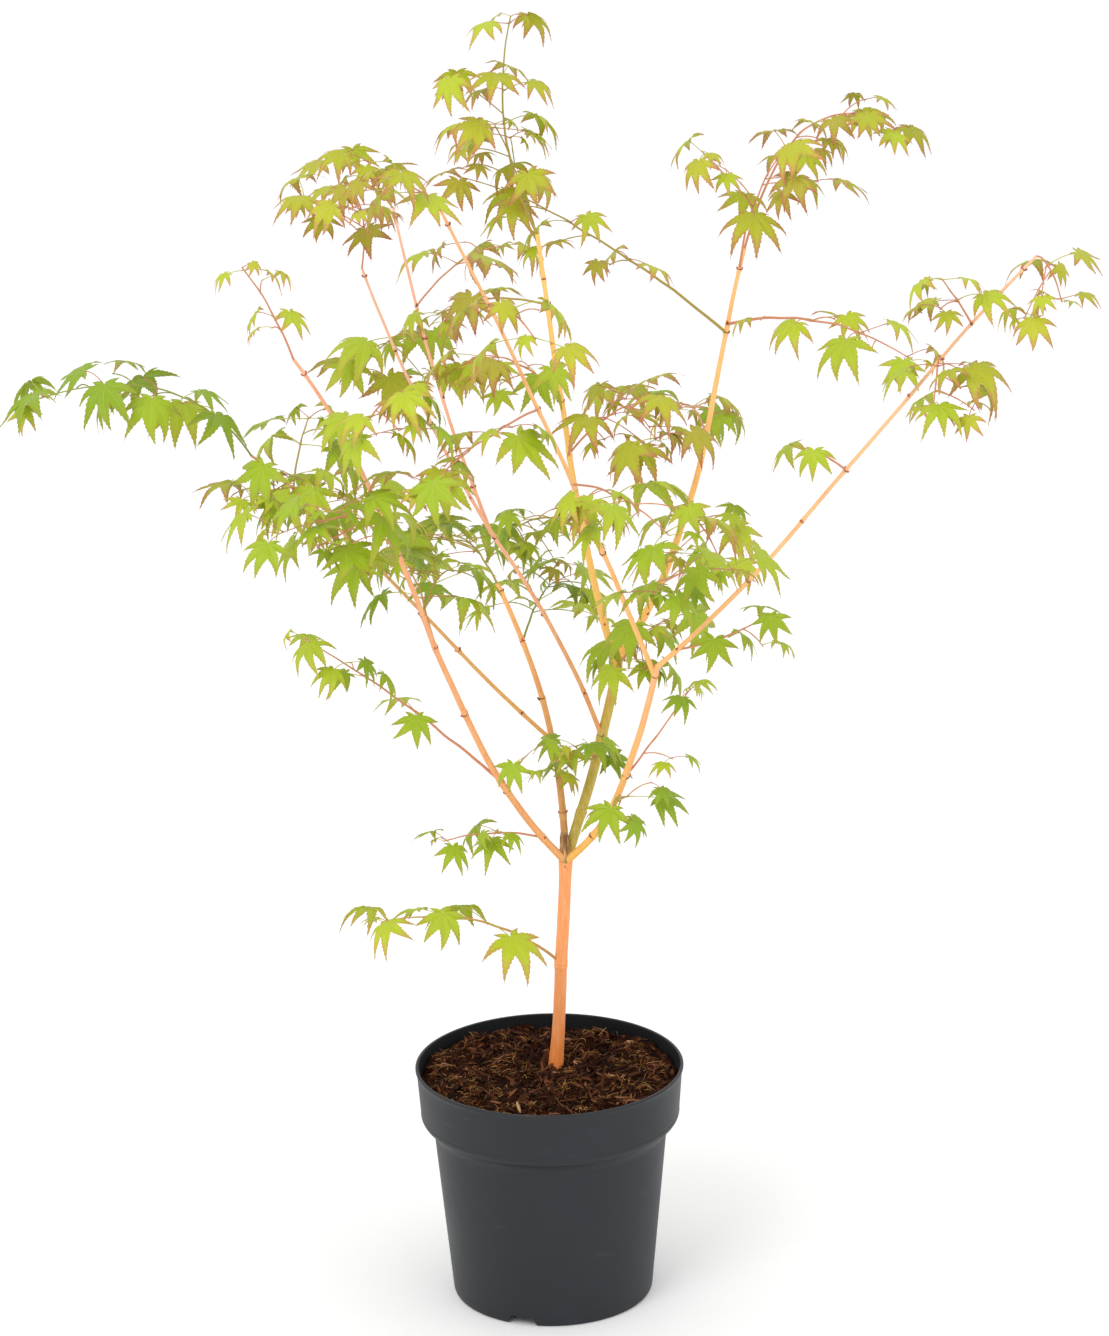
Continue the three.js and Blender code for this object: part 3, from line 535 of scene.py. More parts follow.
class Surface:
    """A procedural material and the nodes that feed its shader."""

    def __init__(self, name, colour, roughness, specular=0.4):
        self.material = bpy.data.materials.new(name)
        self.material.use_nodes = True
        self.nodes, self.links = self.material.node_tree.nodes, self.material.node_tree.links
        self.shader = self.nodes["Principled BSDF"]
        colour = linear(colour) if isinstance(colour, str) else colour
        self.shader.inputs["Base Color"].default_value = colour
        self.shader.inputs["Roughness"].default_value = roughness
        self.shader.inputs["Specular IOR Level"].default_value = specular

    def feed(self, socket, source):
        self.links.new(source, self.shader.inputs[socket])

    def noise(self, scale, detail=4.0, stretch=(1, 1, 1)):
        place = self.nodes.new("ShaderNodeTexCoord")
        mapping = self.nodes.new("ShaderNodeMapping")
        mapping.inputs["Scale"].default_value = stretch
        texture = self.nodes.new("ShaderNodeTexNoise")
        texture.inputs["Scale"].default_value = scale
        texture.inputs["Detail"].default_value = detail
        self.links.new(place.outputs["Object"], mapping.inputs["Vector"])
        self.links.new(mapping.outputs["Vector"], texture.inputs["Vector"])
        return texture.outputs["Fac"]

    def ramp(self, source, *stops):
        """The source through a ramp whose stops are colour codes or shares of grey."""
        ramp = self.nodes.new("ShaderNodeValToRGB")
        while len(ramp.color_ramp.elements) < len(stops):
            ramp.color_ramp.elements.new(0.5)
        for element, (place, colour) in zip(ramp.color_ramp.elements, stops):
            element.position = place
            element.color = linear(colour) if isinstance(colour, str) else (colour, colour, colour, 1)
        self.links.new(source, ramp.inputs["Fac"])
        return ramp.outputs["Color"]

    def blend(self, share, one, two):
        """A mix of two colours, each a code or the output of a node."""
        node = self.nodes.new("ShaderNodeMix")
        node.data_type = "RGBA"
        self.links.new(share, node.inputs["Factor"])
        for socket, value in ((node.inputs[6], one), (node.inputs[7], two)):
            if isinstance(value, str):
                socket.default_value = linear(value)
            else:
                self.links.new(value, socket)
        return node.outputs[2]

    def bump(self, height, strength, depth):
        bump = self.nodes.new("ShaderNodeBump")
        bump.inputs["Strength"].default_value = strength
        bump.inputs["Distance"].default_value = depth * MM
        self.links.new(height, bump.inputs["Height"])
        self.feed("Normal", bump.outputs["Normal"])


def plain_material(name, colour, roughness=0.5, grain=1100, relief=0.12, specular=0.4):
    """One base colour with a fine grain in its relief and gloss."""
    surface = Surface(name, colour, roughness, specular)
    texture = surface.noise(grain)
    stops = [(place, roughness + change) for place, change in (GRAIN.low, GRAIN.high)]
    surface.feed("Roughness", surface.ramp(texture, *stops))
    surface.bump(texture, GRAIN.strength, relief)
    return surface.material


def toned_material(name, code, roughness, specular, grain, tones, relief):
    """Colours dealt out by a grain that also raises the relief."""
    surface = Surface(name, code, roughness, specular)
    texture = surface.noise(*grain)
    surface.feed("Base Color", surface.ramp(texture, *tones))
    surface.bump(texture, *relief)
    return surface.material


def bark_material(name, low, high, z_low, z_high):
    """Young bark: one colour runs into another up the limb, with streaks, patches and pores."""
    surface = Surface(name, low, 0.48)
    place = surface.nodes.new("ShaderNodeTexCoord")
    split = surface.nodes.new("ShaderNodeSeparateXYZ")
    surface.links.new(place.outputs["Object"], split.inputs["Vector"])
    height = surface.nodes.new("ShaderNodeMapRange")
    height.inputs["From Min"].default_value = z_low * MM
    height.inputs["From Max"].default_value = z_high * MM
    surface.links.new(split.outputs["Z"], height.inputs["Value"])
    colour = surface.blend(height.outputs["Result"], low, high)
    textures = [surface.noise(*marks[:3]) for marks in BARK_MARKS]
    for texture, (_, _, _, none, most, code) in zip(textures, BARK_MARKS):
        colour = surface.blend(surface.ramp(texture, none, most), colour, code)
    surface.feed("Base Color", colour)
    surface.bump(textures[0], 0.35, 0.25)
    return surface.material


def pot_material():
    """Moulded charcoal plastic with a fine grain, faint scuffs and a soft sheen."""
    surface = Surface("pot_plastic", "1C1F24", 0.5, 0.36)
    mottle = surface.noise(14, 5.0, (1, 1, 0.5))
    tone = surface.ramp(mottle, (0.3, "191C21"), (0.7, "212429"))
    scuffs = surface.noise(160, 7.0, (0.25, 0.25, 1.3))
    surface.feed("Base Color", surface.blend(surface.ramp(scuffs, (0.64, 0.0), (0.74, 0.3)), tone, "3A3F46"))
    surface.feed("Roughness", surface.ramp(mottle, (0.3, 0.44), (0.7, 0.58)))
    surface.bump(surface.noise(1500, 3.0), 0.25, 0.12)
    return surface.material


# The pot's section: small steps and rounds, in millimetres, and shares and counts of points
FOOT_ROUND = Named(inset=0.6, steps=5, power=0.45)
WALL_SHARES = (0.04, 0.975, 14)
SHOULDER_EDGE = ((0.1, -0.9), (0.75, 0.9))
HOLLOW = Named(inset=1.2, down=1.2, first_deg=-68, last_deg=-4, steps=10)
BAND_EDGE = Named(steps=((-0.35, 0.5), (0, 1.4)), up=1.2, count=6)
LIP_SWELL = Named(height=2.4, shares=(0.25, 0.5, 0.75, 1), steps=5)
MOUTH = Named(round=0.5, steps=4, down=3)
INNER_FLOOR = 9.5
PAD = Named(round=0.5, flare=2)
NOTCH_EDGE = Named(wide=1, under=3, above=0.2, round=0.6, down=1, near=3, far=4)
SHARP_DEG = 42


def arc(centre, radius, first, last, steps):
    """Points round part of a circle in the pot's section."""
    angles = np.radians(np.linspace(first, last, steps))
    return [(centre[0] + radius * math.cos(a), centre[1] + radius * math.sin(a)) for a in angles]


def run(start, end, shares, power=1):
    """Points between two places of the section, on a straight line where the power is 1."""
    return [(mix(start[0], end[0], s**power), mix(start[1], end[1], s)) for s in shares]


def offsets(place, steps):
    return [(place[0] + out, place[1] + up) for out, up in steps]


def pot_section():
    """The pot's section, up its outside and down its inside, and the step where its inside begins."""
    wall, band_top = LIP.wall, (BAND.top, POT_HEIGHT - LIP.height)
    foot, shoulder = (FOOT.radius, FOOT.round), (SHOULDER.radius, SHOULDER.height)
    ring, edge = (FOOT.edge - FOOT.ring, 0), (FOOT.edge - FOOT_ROUND.inset, 0)
    crease = BAND.foot_height - HOLLOW.down
    foot_shares = [i / FOOT_ROUND.steps for i in range(1, FOOT_ROUND.steps + 1)]
    outer = [ring, edge] + run(edge, foot, foot_shares, FOOT_ROUND.power)
    outer += run(foot, shoulder, np.linspace(*WALL_SHARES)) + offsets(shoulder, SHOULDER_EDGE)
    span = BAND.foot - shoulder[0] - HOLLOW.inset
    outer += arc((shoulder[0] + HOLLOW.inset, crease), span, HOLLOW.first_deg, HOLLOW.last_deg, HOLLOW.steps)
    outer += offsets((BAND.foot, crease), BAND_EDGE.steps)
    band_foot = (BAND.foot, BAND.foot_height + BAND_EDGE.up)
    outer += run(band_foot, band_top, np.linspace(0, 1, BAND_EDGE.count))
    outer += [(mix(band_top[0], RIM, s * s * (3 - 2 * s)), band_top[1] + LIP_SWELL.height * s)
              for s in LIP_SWELL.shares]
    outer += arc((RIM - LIP.round, POT_HEIGHT - LIP.round), LIP.round, 0, 90, LIP_SWELL.steps)
    mouth = (RIM - wall + MOUTH.round, POT_HEIGHT - MOUTH.round)
    outer += arc(mouth, MOUTH.round, 90, 180, MOUTH.steps)
    inner_step = len(outer)
    outer += [(BAND.top - wall, POT_HEIGHT - MOUTH.down), (BAND.foot - wall, BAND.foot_height)]
    outer += [(shoulder[0] - wall, shoulder[1]), (FOOT.radius - wall, INNER_FLOOR), (0, INNER_FLOOR)]
    pad = FOOT.pad
    underside = [(0, 0), (pad - PAD.round, 0), (pad, PAD.round), (pad + PAD.flare, FOOT.under)]
    return underside + [(ring[0], FOOT.under)] + outer, inner_step + len(underside)


def turned_shape(section, steps, inner_step):
    """A section from axis to axis, turned round Z into a closed form whose inside takes a look of its own, a
    darker copy of the plastic as painted shade.
    """
    shape = Shape()
    rings = section[1:-1]
    points = [(r * math.cos(a), r * math.sin(a), z) for r, z in rings for a in angles_round(steps)]
    points += [(0, 0, section[0][1]), (0, 0, section[-1][1])]
    looks = [0, 1] + [int(r + 1 >= inner_step) for r in range(len(rings) - 1)]
    shape.add(points, ring_faces(len(rings), steps), looks * steps)
    return shape


def notch_cutter(angle):
    """A prism that cuts one drain notch with rounded upper corners."""
    half, top, height = NOTCH.width / 2, NOTCH.top_width / 2, NOTCH.height
    side = [(half + NOTCH_EDGE.wide, -NOTCH_EDGE.under), (half, NOTCH_EDGE.above)]
    side += [(top + NOTCH_EDGE.round, height - NOTCH_EDGE.down), (top - NOTCH_EDGE.round, height)]
    other = [(-x, z) for x, z in reversed(side)]
    outline = other[-1:] + side + other[:-1]
    near, far = FOOT.radius - NOTCH.depth + NOTCH_EDGE.near, FOOT.radius + NOTCH_EDGE.far
    out = np.array((math.cos(angle), math.sin(angle), 0))
    across = np.array((-math.sin(angle), math.cos(angle), 0))
    points = [out * depth + across * x + UP * z for depth in (near, far) for x, z in outline]
    count = len(outline)
    faces = [tuple(range(count - 1, -1, -1)), tuple(range(count, 2 * count))]
    faces += [(i, (i + 1) % count, (i + 1) % count + count, i + count) for i in range(count)]
    mesh = bpy.data.meshes.new("notch")
    mesh.from_pydata([tuple(p * MM) for p in points], [], faces)
    return add_object("notch", mesh)


def make_pot():
    section, inner_step = pot_section()
    # The inside of the pot takes a near-black copy of its plastic: painted shade for the shade that lies
    # inside the pot.
    looks = [pot_material(), plain_material("pot_inside_painted_shade", "0B0D11", 0.6, 900, 0.1, 0.2)]
    pot = piece("nursery_pot", turned_shape(section, POT_STEPS, inner_step), looks, ["pot"])
    for i in range(NOTCH.count):
        cutter = notch_cutter(math.radians(NOTCH.first_deg + i * 360 / NOTCH.count))
        cut = pot.modifiers.new("notch", "BOOLEAN")
        cut.operation, cut.object, cut.solver = "DIFFERENCE", cutter, "EXACT"
        bpy.context.view_layer.objects.active = pot
        bpy.ops.object.modifier_apply(modifier=cut.name)
        bpy.data.objects.remove(cutter)
    pot.data.set_sharp_from_angle(angle=math.radians(SHARP_DEG))


# The potting mix. Each kind of chip has a count, a range of lengths, and its width, thickness and stand
# as shares of that length.
SOIL = Named(seed=31, rings=44, around=150, clear=6.5, deep=22, low=1.4, gap=0.4, skew=1.6, margin=1)
CALM = Named(start=5, over=24)
EDGE_POWER = 5
# Each kind of lump has its noise scale, its seed and its height
LUMPS = {"wide": (0.045, 3.1, 5.2), "narrow": (0.12, 8.4, 5.0), "crumb": (0.32, 5.7, 3.0),
         "patch": (0.075, 12.6, 1.3)}
PATCH_MIDDLE = 0.45
CRUMBS = Named(count=2300, long=(0.9, 2.6), wide=(0.35, 0.75), thick=(0.3, 0.6), stands=(-0.3, 0.5))
SHREDS = Named(count=1300, long=(2.2, 6.4), wide=(0.1, 0.24), thick=(0.06, 0.16), stands=(0, 0.4))
STRIPS = Named(count=170, long=(4.5, 8.5), wide=(0.13, 0.28), thick=(0.05, 0.11), stands=(0, 0.35))
CHIPS = Named(count=330, long=(2.6, 6.2), wide=(0.28, 0.5), thick=(0.12, 0.3), stands=(-0.1, 0.4))
CHIP_RINGS = ((-1, 0.25), (-0.45, 1), (0.35, 0.85), (1, 0.2))
CHIP_FORM = Named(tilt=0.8, bend=0.25, rough=(0.65, 1.2))
# Painted shade and light on chips: up and over turn the height of the lumps into a share, and lift paints
# chips on the lumps lighter while those in the hollows stay dark; own, skew, patch, pale and share give each
# chip its own tone.
CHIP_TONE_AND_PAINTED_SHADE = Named(up=2.5, over=6, own=0.45, skew=1.5, lift=0.4, patch=0.25, pale=0.25, share=0.05)
CHIP_CODES = ("190801", "2E1407", "472411", "61371F", "83553A", "B48C66")
FIBRES = Named(count=2100, long=(3, 11), radius=(0.08, 0.19), bow=1.2, inset=6, skew=1.5, tilt=0.4,
               stands=(0.3, 2.2), least=0.08, most=0.9, steps=6, sides=4, pale=(0.5, 0.12),
               pale_half=90, rise=1.2)
FIBRE_CODES = ("55310F", "94642C", "C0944F")


def lump(x, y, kind):
    scale, seed, height = LUMPS[kind]
    return noise_at(x * scale, y * scale, seed) * height


def soil_lumps(x, y):
    return lump(x, y, "wide") + lump(x, y, "narrow") + abs(lump(x, y, "crumb"))


def soil_patch(x, y):
    """How fibrous the mix is at a place, from 0 for dark bark to 1 for a tuft of fibres."""
    return clamp(PATCH_MIDDLE + lump(x, y, "patch"))


def from_trunk(x, y):
    return math.dist((x, y), TRUNK["start"][:2])


def soil_height(x, y):
    """The uneven top of the mix, calm round the trunk and a little lower at the wall."""
    calm = clamp((from_trunk(x, y) - CALM.start) / CALM.over)
    fall = EDGE_DIP * (math.hypot(x, y) / (BAND.top - LIP.wall)) ** EDGE_POWER
    return SOIL_TOP - SOIL.low + soil_lumps(x, y) * calm - fall


def soil_edge(z):
    share = (z - BAND.foot_height) / (POT_HEIGHT - BAND.foot_height)
    return mix(BAND.foot, BAND.top, share) - LIP.wall - SOIL.gap


def soil_bed(edge):
    """The body of the mix, with a fine uneven top and a flat underside inside the pot."""
    bed = Shape()
    rings, around, floor = SOIL.rings, SOIL.around, SOIL_TOP - SOIL.deep
    turn = angles_round(around)
    points = [(0, 0, soil_height(0, 0))]
    for ring in range(1, rings + 1):
        for x, y in zip(edge * ring / rings * np.cos(turn), edge * ring / rings * np.sin(turn)):
            points.append((x, y, soil_height(x, y)))
    points += [(soil_edge(floor) * math.cos(a), soil_edge(floor) * math.sin(a), floor) for a in turn]
    points.append((0, 0, floor))
    faces = [(0, 1 + i, 1 + (i + 1) % around) for i in range(around)]
    for ring in range(rings):
        low, high = 1 + ring * around, 1 + (ring + 1) * around
        for i in range(around):
            j = (i + 1) % around
            faces.append((low + i, high + i, high + j, low + j))
    last = 1 + rings * around
    faces += [(last + (i + 1) % around, last + i, len(points) - 1) for i in range(around)]
    bed.add(points, faces)
    tones = ((0.35, "140601"), (0.55, "2E1307"), (0.75, "4C2710"))
    peat = toned_material("moist_peat", "2A1206", 0.95, 0.1, (260, 8.0), tones, (1.0, 2.0))
    piece("soil_bed", bed, [peat], ["potting_mix"])


def place_in_pot(reach, random):
    """A place on the mix, clear of the trunk, or nothing."""
    radius, angle = reach * math.sqrt(random()), 2 * math.pi * random()
    x, y = radius * math.cos(angle), radius * math.sin(angle)
    return (x, y) if from_trunk(x, y) > SOIL.clear else None


def chip(x, y, kind, long, random):
    """A splinter of bark: four rings of four rough corners."""
    wide, thick = long * mix(*kind.wide, random()), long * mix(*kind.thick, random())
    turn, tilt = 2 * math.pi * random(), mix(-CHIP_FORM.tilt, CHIP_FORM.tilt, random())
    ahead = np.array((math.cos(turn) * math.cos(tilt), math.sin(turn) * math.cos(tilt), math.sin(tilt)))
    side = unit(np.cross(UP, ahead))
    rise = np.cross(ahead, side)
    centre = np.array((x, y, soil_height(x, y) + mix(*kind.stands, random()) * long))
    points = []
    for along, size in CHIP_RINGS:
        bend = mix(-CHIP_FORM.bend, CHIP_FORM.bend, random())
        for corner in range(4):
            reach, lean = size * mix(*CHIP_FORM.rough, random()), math.pi * (corner / 2 - 0.25)
            out = side * wide * reach * math.cos(lean) + rise * thick * (reach * math.sin(lean) + bend)
            points.append(centre + ahead * along * long + out)
    faces = [(3, 2, 1, 0), (12, 13, 14, 15)]
    faces += [(r * 4 + i, r * 4 + (i + 1) % 4, r * 4 + 4 + (i + 1) % 4, r * 4 + 4 + i)
              for r in range(3) for i in range(4)]
    return points, faces


def chip_tone(x, y, random):
    """Chips are dark in the hollows and lighter on the lumps, as painted shade and painted light, and a few
    are pale.
    """
    light, lift = CHIP_TONE_AND_PAINTED_SHADE, clamp((soil_lumps(x, y) + CHIP_TONE_AND_PAINTED_SHADE.up) / CHIP_TONE_AND_PAINTED_SHADE.over)
    # Painted light on the lumps and painted shade in the hollows
    tone = light.own * random() ** light.skew + light.lift * lift * random()
    tone += light.patch * soil_patch(x, y) * random()
    tone += light.pale if random() < light.share else 0
    return min(int(tone * len(CHIP_CODES)), len(CHIP_CODES) - 1)


def fibre_path(x, y, random):
    """A fibre that lies on the mix at a slant, with a slight bow."""
    turn, long = 2 * math.pi * random(), mix(*FIBRES.long, random() ** FIBRES.skew)
    bow = np.array((mix(-1, 1, random()), mix(-1, 1, random()), mix(0, FIBRES.rise, random())))
    centre = np.array((x, y, soil_height(x, y) + mix(*FIBRES.stands, random())))
    slant = mix(-FIBRES.tilt, FIBRES.tilt, random())
    ahead = np.array((math.cos(turn), math.sin(turn), slant)) * long / 2
    return Curve(centre - ahead, centre + ahead, FIBRES.bow * bow).even(FIBRES.steps)


def fibre_tone(y, random):
    """Pale fibres show most at the front of the pot."""
    half = FIBRES.pale_half
    pale = mix(*FIBRES.pale, (y + half) / (2 * half))
    return 2 if random() < pale else int(random() * 2)


def make_soil():
    edge = soil_edge(SOIL_TOP - EDGE_DIP)
    soil_bed(edge)
    random = seeded(SOIL.seed)
    chips, fibres = Shape(), Shape()
    for kind in (CRUMBS, SHREDS, STRIPS, CHIPS):
        for _ in range(kind.count):
            long = mix(*kind.long, random() ** SOIL.skew)
            place = place_in_pot(edge - long - SOIL.margin, random)
            if place:
                chips.add(*chip(*place, kind, long, random), chip_tone(*place, random))
    for _ in range(FIBRES.count):
        place = place_in_pot(edge - FIBRES.inset, random)
        if place is None or random() > FIBRES.least + FIBRES.most * soil_patch(*place):
            continue
        path = fibre_path(*place, random)
        radius, tone = mix(*FIBRES.radius, random()), fibre_tone(place[1], random)
        if np.linalg.norm(path[:, :2], axis=1).max() < edge - SOIL.margin:
            fibres.add(*tube(path, [radius] * FIBRES.steps, FIBRES.sides), tone)
    rough = [plain_material(f"chip_{code}", code, 0.85, 420, 0.9, 0.14) for code in CHIP_CODES]
    piece("soil_chips", chips, rough, ["potting_mix"], smooth=False)
    threads = [plain_material(f"fibre_{code}", code, 0.7, 700, 0.2, 0.25) for code in FIBRE_CODES]
    piece("soil_fibres", fibres, threads, ["potting_mix"])


# Bark, from the foot of each limb to its tip
BARK = {
    "trunk": ("EE7E2C", "F59B5B"), "left_bough": ("E9A25C", "F2AA88"), "right_bough": ("F2B650", "FBB07A"),
    "main_leader": ("A8992C", "CDAE48"), "left_leader": ("B98440", "FFB872"),
    "arching_bough": ("E4AA58", "D2A070"), "right_leader": ("FBBE62", "F8BC78"),
    "centre_leader": ("F2BC5C", "FFCA70"), "back_bough": ("E2A05E", "EFAE88"),
    "back_fork": ("EFA888", "F2B498"), "left_fork": ("EFAC8C", "F4BA9A"),
    "outer_bough": ("F4B870", "F4BE9A"), "front_leader": ("F2B468", "F4B684"),
}
# The trunk turns from red-orange to its own tan over this stretch of heights
TRUNK_BLEND = (162, 202)
FORK = Named(swell=0.6, width=9)
LIMB = Named(sides=20, step=2.4, least=12, spacing=62, first=34, last=0.97, apart=26, collar=0.22,
             collar_fade=7, buried=6, end_from=0.99)
NODE = Named(swell=0.09, width=3.4, ring=0.22, ring_out=1.5, ring_width=0.8, crease=1.1, crease_width=0.7,
             steps=4, step=0.7, closest=0.25)
WANDER = Named(along=0.018, apart=9.7, limb=3.3, trunk_out=0.9, out=1.6)
# Ribs and finer grain of the bark: noise scale round the limb and along it, and depth
RELIEF = ((2.1, 0.055, 0.035), (5.5, 0.22, 0.018))
RELIEF_SEED = 7.7


def node_shares(limb):
    """Where a limb has nodes: at each shoot that leaves it, and evenly in between."""
    length = limb["curve"].length
    shares = [s["at"] for s in LIMBS + MASSES if s.get("on") == limb["name"] and s["at"] < LIMB.end_from]
    if limb["name"] == "trunk":
        return shares
    count = max(2, round(length / LIMB.spacing))
    for i in range(1, count + 1):
        share = mix(LIMB.first / length, LIMB.last, (i - 1) / (count - 1))
        if min([abs(share - s) for s in shares], default=1) > LIMB.apart / length:
            shares.append(share)
    return sorted(shares)


def limb_profile(limb, shares, nodes):
    """The radius along a limb, with its collar, its swollen nodes and the ring at each of them."""
    length = limb["curve"].length
    radius = limb_radius(limb, shares)
    away = shares * length
    if limb["name"] == "trunk":
        height = away - FLARE.buried
        radius = radius + FLARE.extra * np.clip(1 - height / FLARE.height, 0, FLARE.most) ** 2
        radius = radius + FORK.swell * hill(length - away, FORK.width)
    else:
        radius = radius * (1 + LIMB.collar * np.exp(-away / LIMB.collar_fade))
    for node in nodes:
        gap = np.abs(shares - node) * length
        radius = radius * (1 + NODE.swell * hill(gap, NODE.width))
        ring = hill(gap - NODE.ring_out, NODE.ring_width)
        radius = radius + NODE.ring * (ring - NODE.crease * hill(gap, NODE.crease_width))
    return radius


def bark_relief(path, sides, seed):
    """Shallow ribs and hollows that run along a limb, and a finer grain over them."""
    relief = np.ones((len(path), sides))
    turn = angles_round(sides)
    for (around, along, depth), shift in zip(RELIEF, (seed, -seed)):
        for row, centre in zip(relief, path):
            row += depth * np.array([noise_at(math.cos(a) * around, math.sin(a) * around,
                                              centre[2] * along + shift) for a in turn])
    return relief


def make_limb(limb, index):
    """The bark of one limb, and where its nodes are."""
    curve, is_trunk = limb["curve"], limb["name"] == "trunk"
    nodes = node_shares(limb)
    shares = np.linspace(0, 1, max(LIMB.least, round(curve.length / LIMB.step)) + 1)
    fine = np.arange(-NODE.steps, NODE.steps + 1) * NODE.step / curve.length
    shares = np.unique(np.concatenate([shares, *[np.clip(node + fine, 0, 1) for node in nodes]]))
    shares = shares[np.concatenate([[True], np.diff(shares) * curve.length > NODE.closest])]
    path = curve.points(shares)
    drift = wander(path[:, 2] * WANDER.along, WANDER.apart, index * WANDER.limb)
    path = path + drift * np.sin(math.pi * shares)[:, None] * (WANDER.trunk_out if is_trunk else WANDER.out)
    relief = bark_relief(path, LIMB.sides, index * RELIEF_SEED)
    points, faces = tube(path, limb_profile(limb, shares, nodes), LIMB.sides, relief)
    if is_trunk:
        # The trunk ends in a flat cut a little below the top of the mix
        points[:, 2] = np.maximum(points[:, 2], GROUND - LIMB.buried)
    shape = Shape()
    shape.add(points, faces)
    heights = TRUNK_BLEND if is_trunk else (path[0][2], path[-1][2])
    material = bark_material(f"bark_{limb['name']}", *BARK[limb["name"]], *heights)
    piece(f"{limb['name']}_bark", shape, [material], [limb["name"]])
    return nodes


# Bud pairs, leaf scars and brown rings at the nodes
BUD = Named(seed=53, sunk=0.8, out=(0.5, 1.1), ahead=(1.4, 2.4), bow=0.25, sides=7,
            radii=(0.75, 0.85, 0.7, 0.45, 0.12))
SCAR = Named(share=0.7, steps=15, out=0.1, radius=(0.16, 0.4), shift=0.3, sides=5)
BUD_CODES = ("C65A4A", "8E4630", "7A4A2A")


def make_buds(nodes_of):
    random = seeded(BUD.seed)
    shape = Shape()
    for name, nodes in nodes_of.items():
        limb = limbs[name]
        for count, share in enumerate(nodes):
            root, along = limb["curve"].point(share), limb["curve"].tangent(share)
            size = limb_radius(limb, share)
            if name != "trunk" and random() < SCAR.share:
                shape.add(*scar_ring(root, along, size, random), 2)
            for across in pair_directions(along, count, random):
                foot = root + across * size * BUD.sunk
                out, ahead = mix(*BUD.out, random()), mix(*BUD.ahead, random())
                tip = root + across * (size + out) + along * ahead
                path = Curve(foot, tip, across * BUD.bow).even(len(BUD.radii))
                shape.add(*tube(path, BUD.radii, BUD.sides), int(random() * 2))
    looks = [plain_material(f"bud_{code}", code, 0.55) for code in BUD_CODES]
    piece("bud_pairs", shape, looks, ["trunk"])


def scar_ring(root, along, size, random):
    """A thin crust of dead bark round a node."""
    across = pair_directions(along, 0, random)[0]
    rise = np.cross(along, across)
    turn = np.linspace(0, 2 * math.pi, SCAR.steps)
    circle = root + (np.outer(np.cos(turn), across) + np.outer(np.sin(turn), rise)) * (size + SCAR.out)
    radii = [mix(*SCAR.radius, random()) for _ in turn]
    shifts = [mix(-SCAR.shift, SCAR.shift, random()) for _ in turn]
    return tube(circle + np.outer(shifts, along), radii, SCAR.sides)


def make_stub():
    """The dead end of the old leader stands brown and cracked in the fork."""
    x, y, z = TRUNK["to"]
    lean_x, lean_y = STUB.lean
    shares = np.linspace(0, 1, STUB.steps)
    end = (x + lean_x, y + lean_y, z + STUB.length)
    path = Curve((x, y, z - STUB.sunk), end, STUB.bow).points(shares)
    rounding = np.where(shares > STUB.round_from, STUB.round, 1)
    radii = STUB.radius * mix(1, STUB.tip, shares) * rounding
    cracks = np.cos(angles_round(STUB.sides) * STUB.cracks + STUB.turn) > STUB.narrow
    relief = 1 + (bark_relief(path, STUB.sides, STUB.seed) - 1) * STUB.rough - STUB.crack * cracks
    shape = Shape()
    shape.add(*tube(path, radii, STUB.sides, relief))
    tones = ((0.32, "5E4028"), (0.48, "A27A50"), (0.66, "D8B488"))
    wood = toned_material("dead_wood", "5A4636", 0.85, 0.25, (500, 6.0, (1, 1, 0.15)), tones, (0.9, 0.6))
    piece("dead_stub", shape, [wood], ["trunk"])


# Twigs and leaf stalks
TWIG_LOOK = Named(long=1.15, foot=0.85, tip=0.42, side=0.45, sides=7, step=4, least=5, seed=211,
                  foot_share=0.8, side_tip=0.8, along=0.045, apart=5.1, stem_sway=1.5, side_sway=0.6,
                  nodes=(0.46, 0.72, 0.97), swell=0.35, swell_width=1.6)
STALK_LOOK = Named(bow=0.09, into=0.02, radius=(0.26, 0.42), length=40, sides=6,
                   radii=(1.5, 1.05, 0.9, 0.85, 0.85, 0.9, 1.0, 1.1))
STALK_GREEN = Named(below=638, low=0.75, high=0.35)
TWIG_CODES = ("CF8A66", "C79650", "A9943E", "8E9438")
STALK_CODES = ("B4B04A", "C08A5A", "BE7660")
# The tone of a mass's twigs, where it isn't the first
TWIG_TONES = {
    "far_left": 3, "arch_under": 2, "arch_high": 2, "low_shoot": 1, "top_shoot": 2, "top_side": 2,
    "long_left": 2, "centre_high": 2, "right_low": 1, "main_low": 2, "left_inner": 2, "left_under": 1,
    "arch_back": 2, "leader_back": 2, "leader_inner": 3, "centre_back": 2, "back_left": 2,
}


def twig_tube(mass, curve):
    """A stem or a side twig, which sways a little and swells at its nodes."""
    look, stem = TWIG_LOOK, curve is mass.curve
    shares = np.linspace(0, 1, max(look.least, round(curve.length / look.step)) + 1)
    sway = wander(shares * curve.length * look.along, look.apart, mass.index)
    amount = np.sin(math.pi * shares) * (look.stem_sway if stem else look.side_sway)
    path = curve.points(shares) + sway * amount[:, None]
    foot = min(mass.foot * look.foot_share, look.long if mass.nodes > 2 else look.foot)
    radii = mix(foot if stem else look.side, look.tip * (1 if stem else look.side_tip), shares)
    for node in look.nodes:
        radii = radii * (1 + look.swell * hill((shares - node) * curve.length, look.swell_width))
    return tube(path, radii, look.sides)


def stalk_tube(leaf, random):
    look = STALK_LOOK
    bow = UP * leaf.length * mix(0.0, look.bow, random())
    end = leaf.base + leaf.middle * look.into * leaf.length
    radius = mix(*look.radius, leaf.length / look.length)
    radii = radius * np.array(look.radii)
    return tube(Curve(leaf.root, end, bow).even(len(radii)), radii, look.sides)


def stalk_tone(mass, random):
    green = STALK_GREEN.low if mass.curve.end[2] < STALK_GREEN.below else STALK_GREEN.high
    return 0 if random() < green else 1 + int(random() * 2)


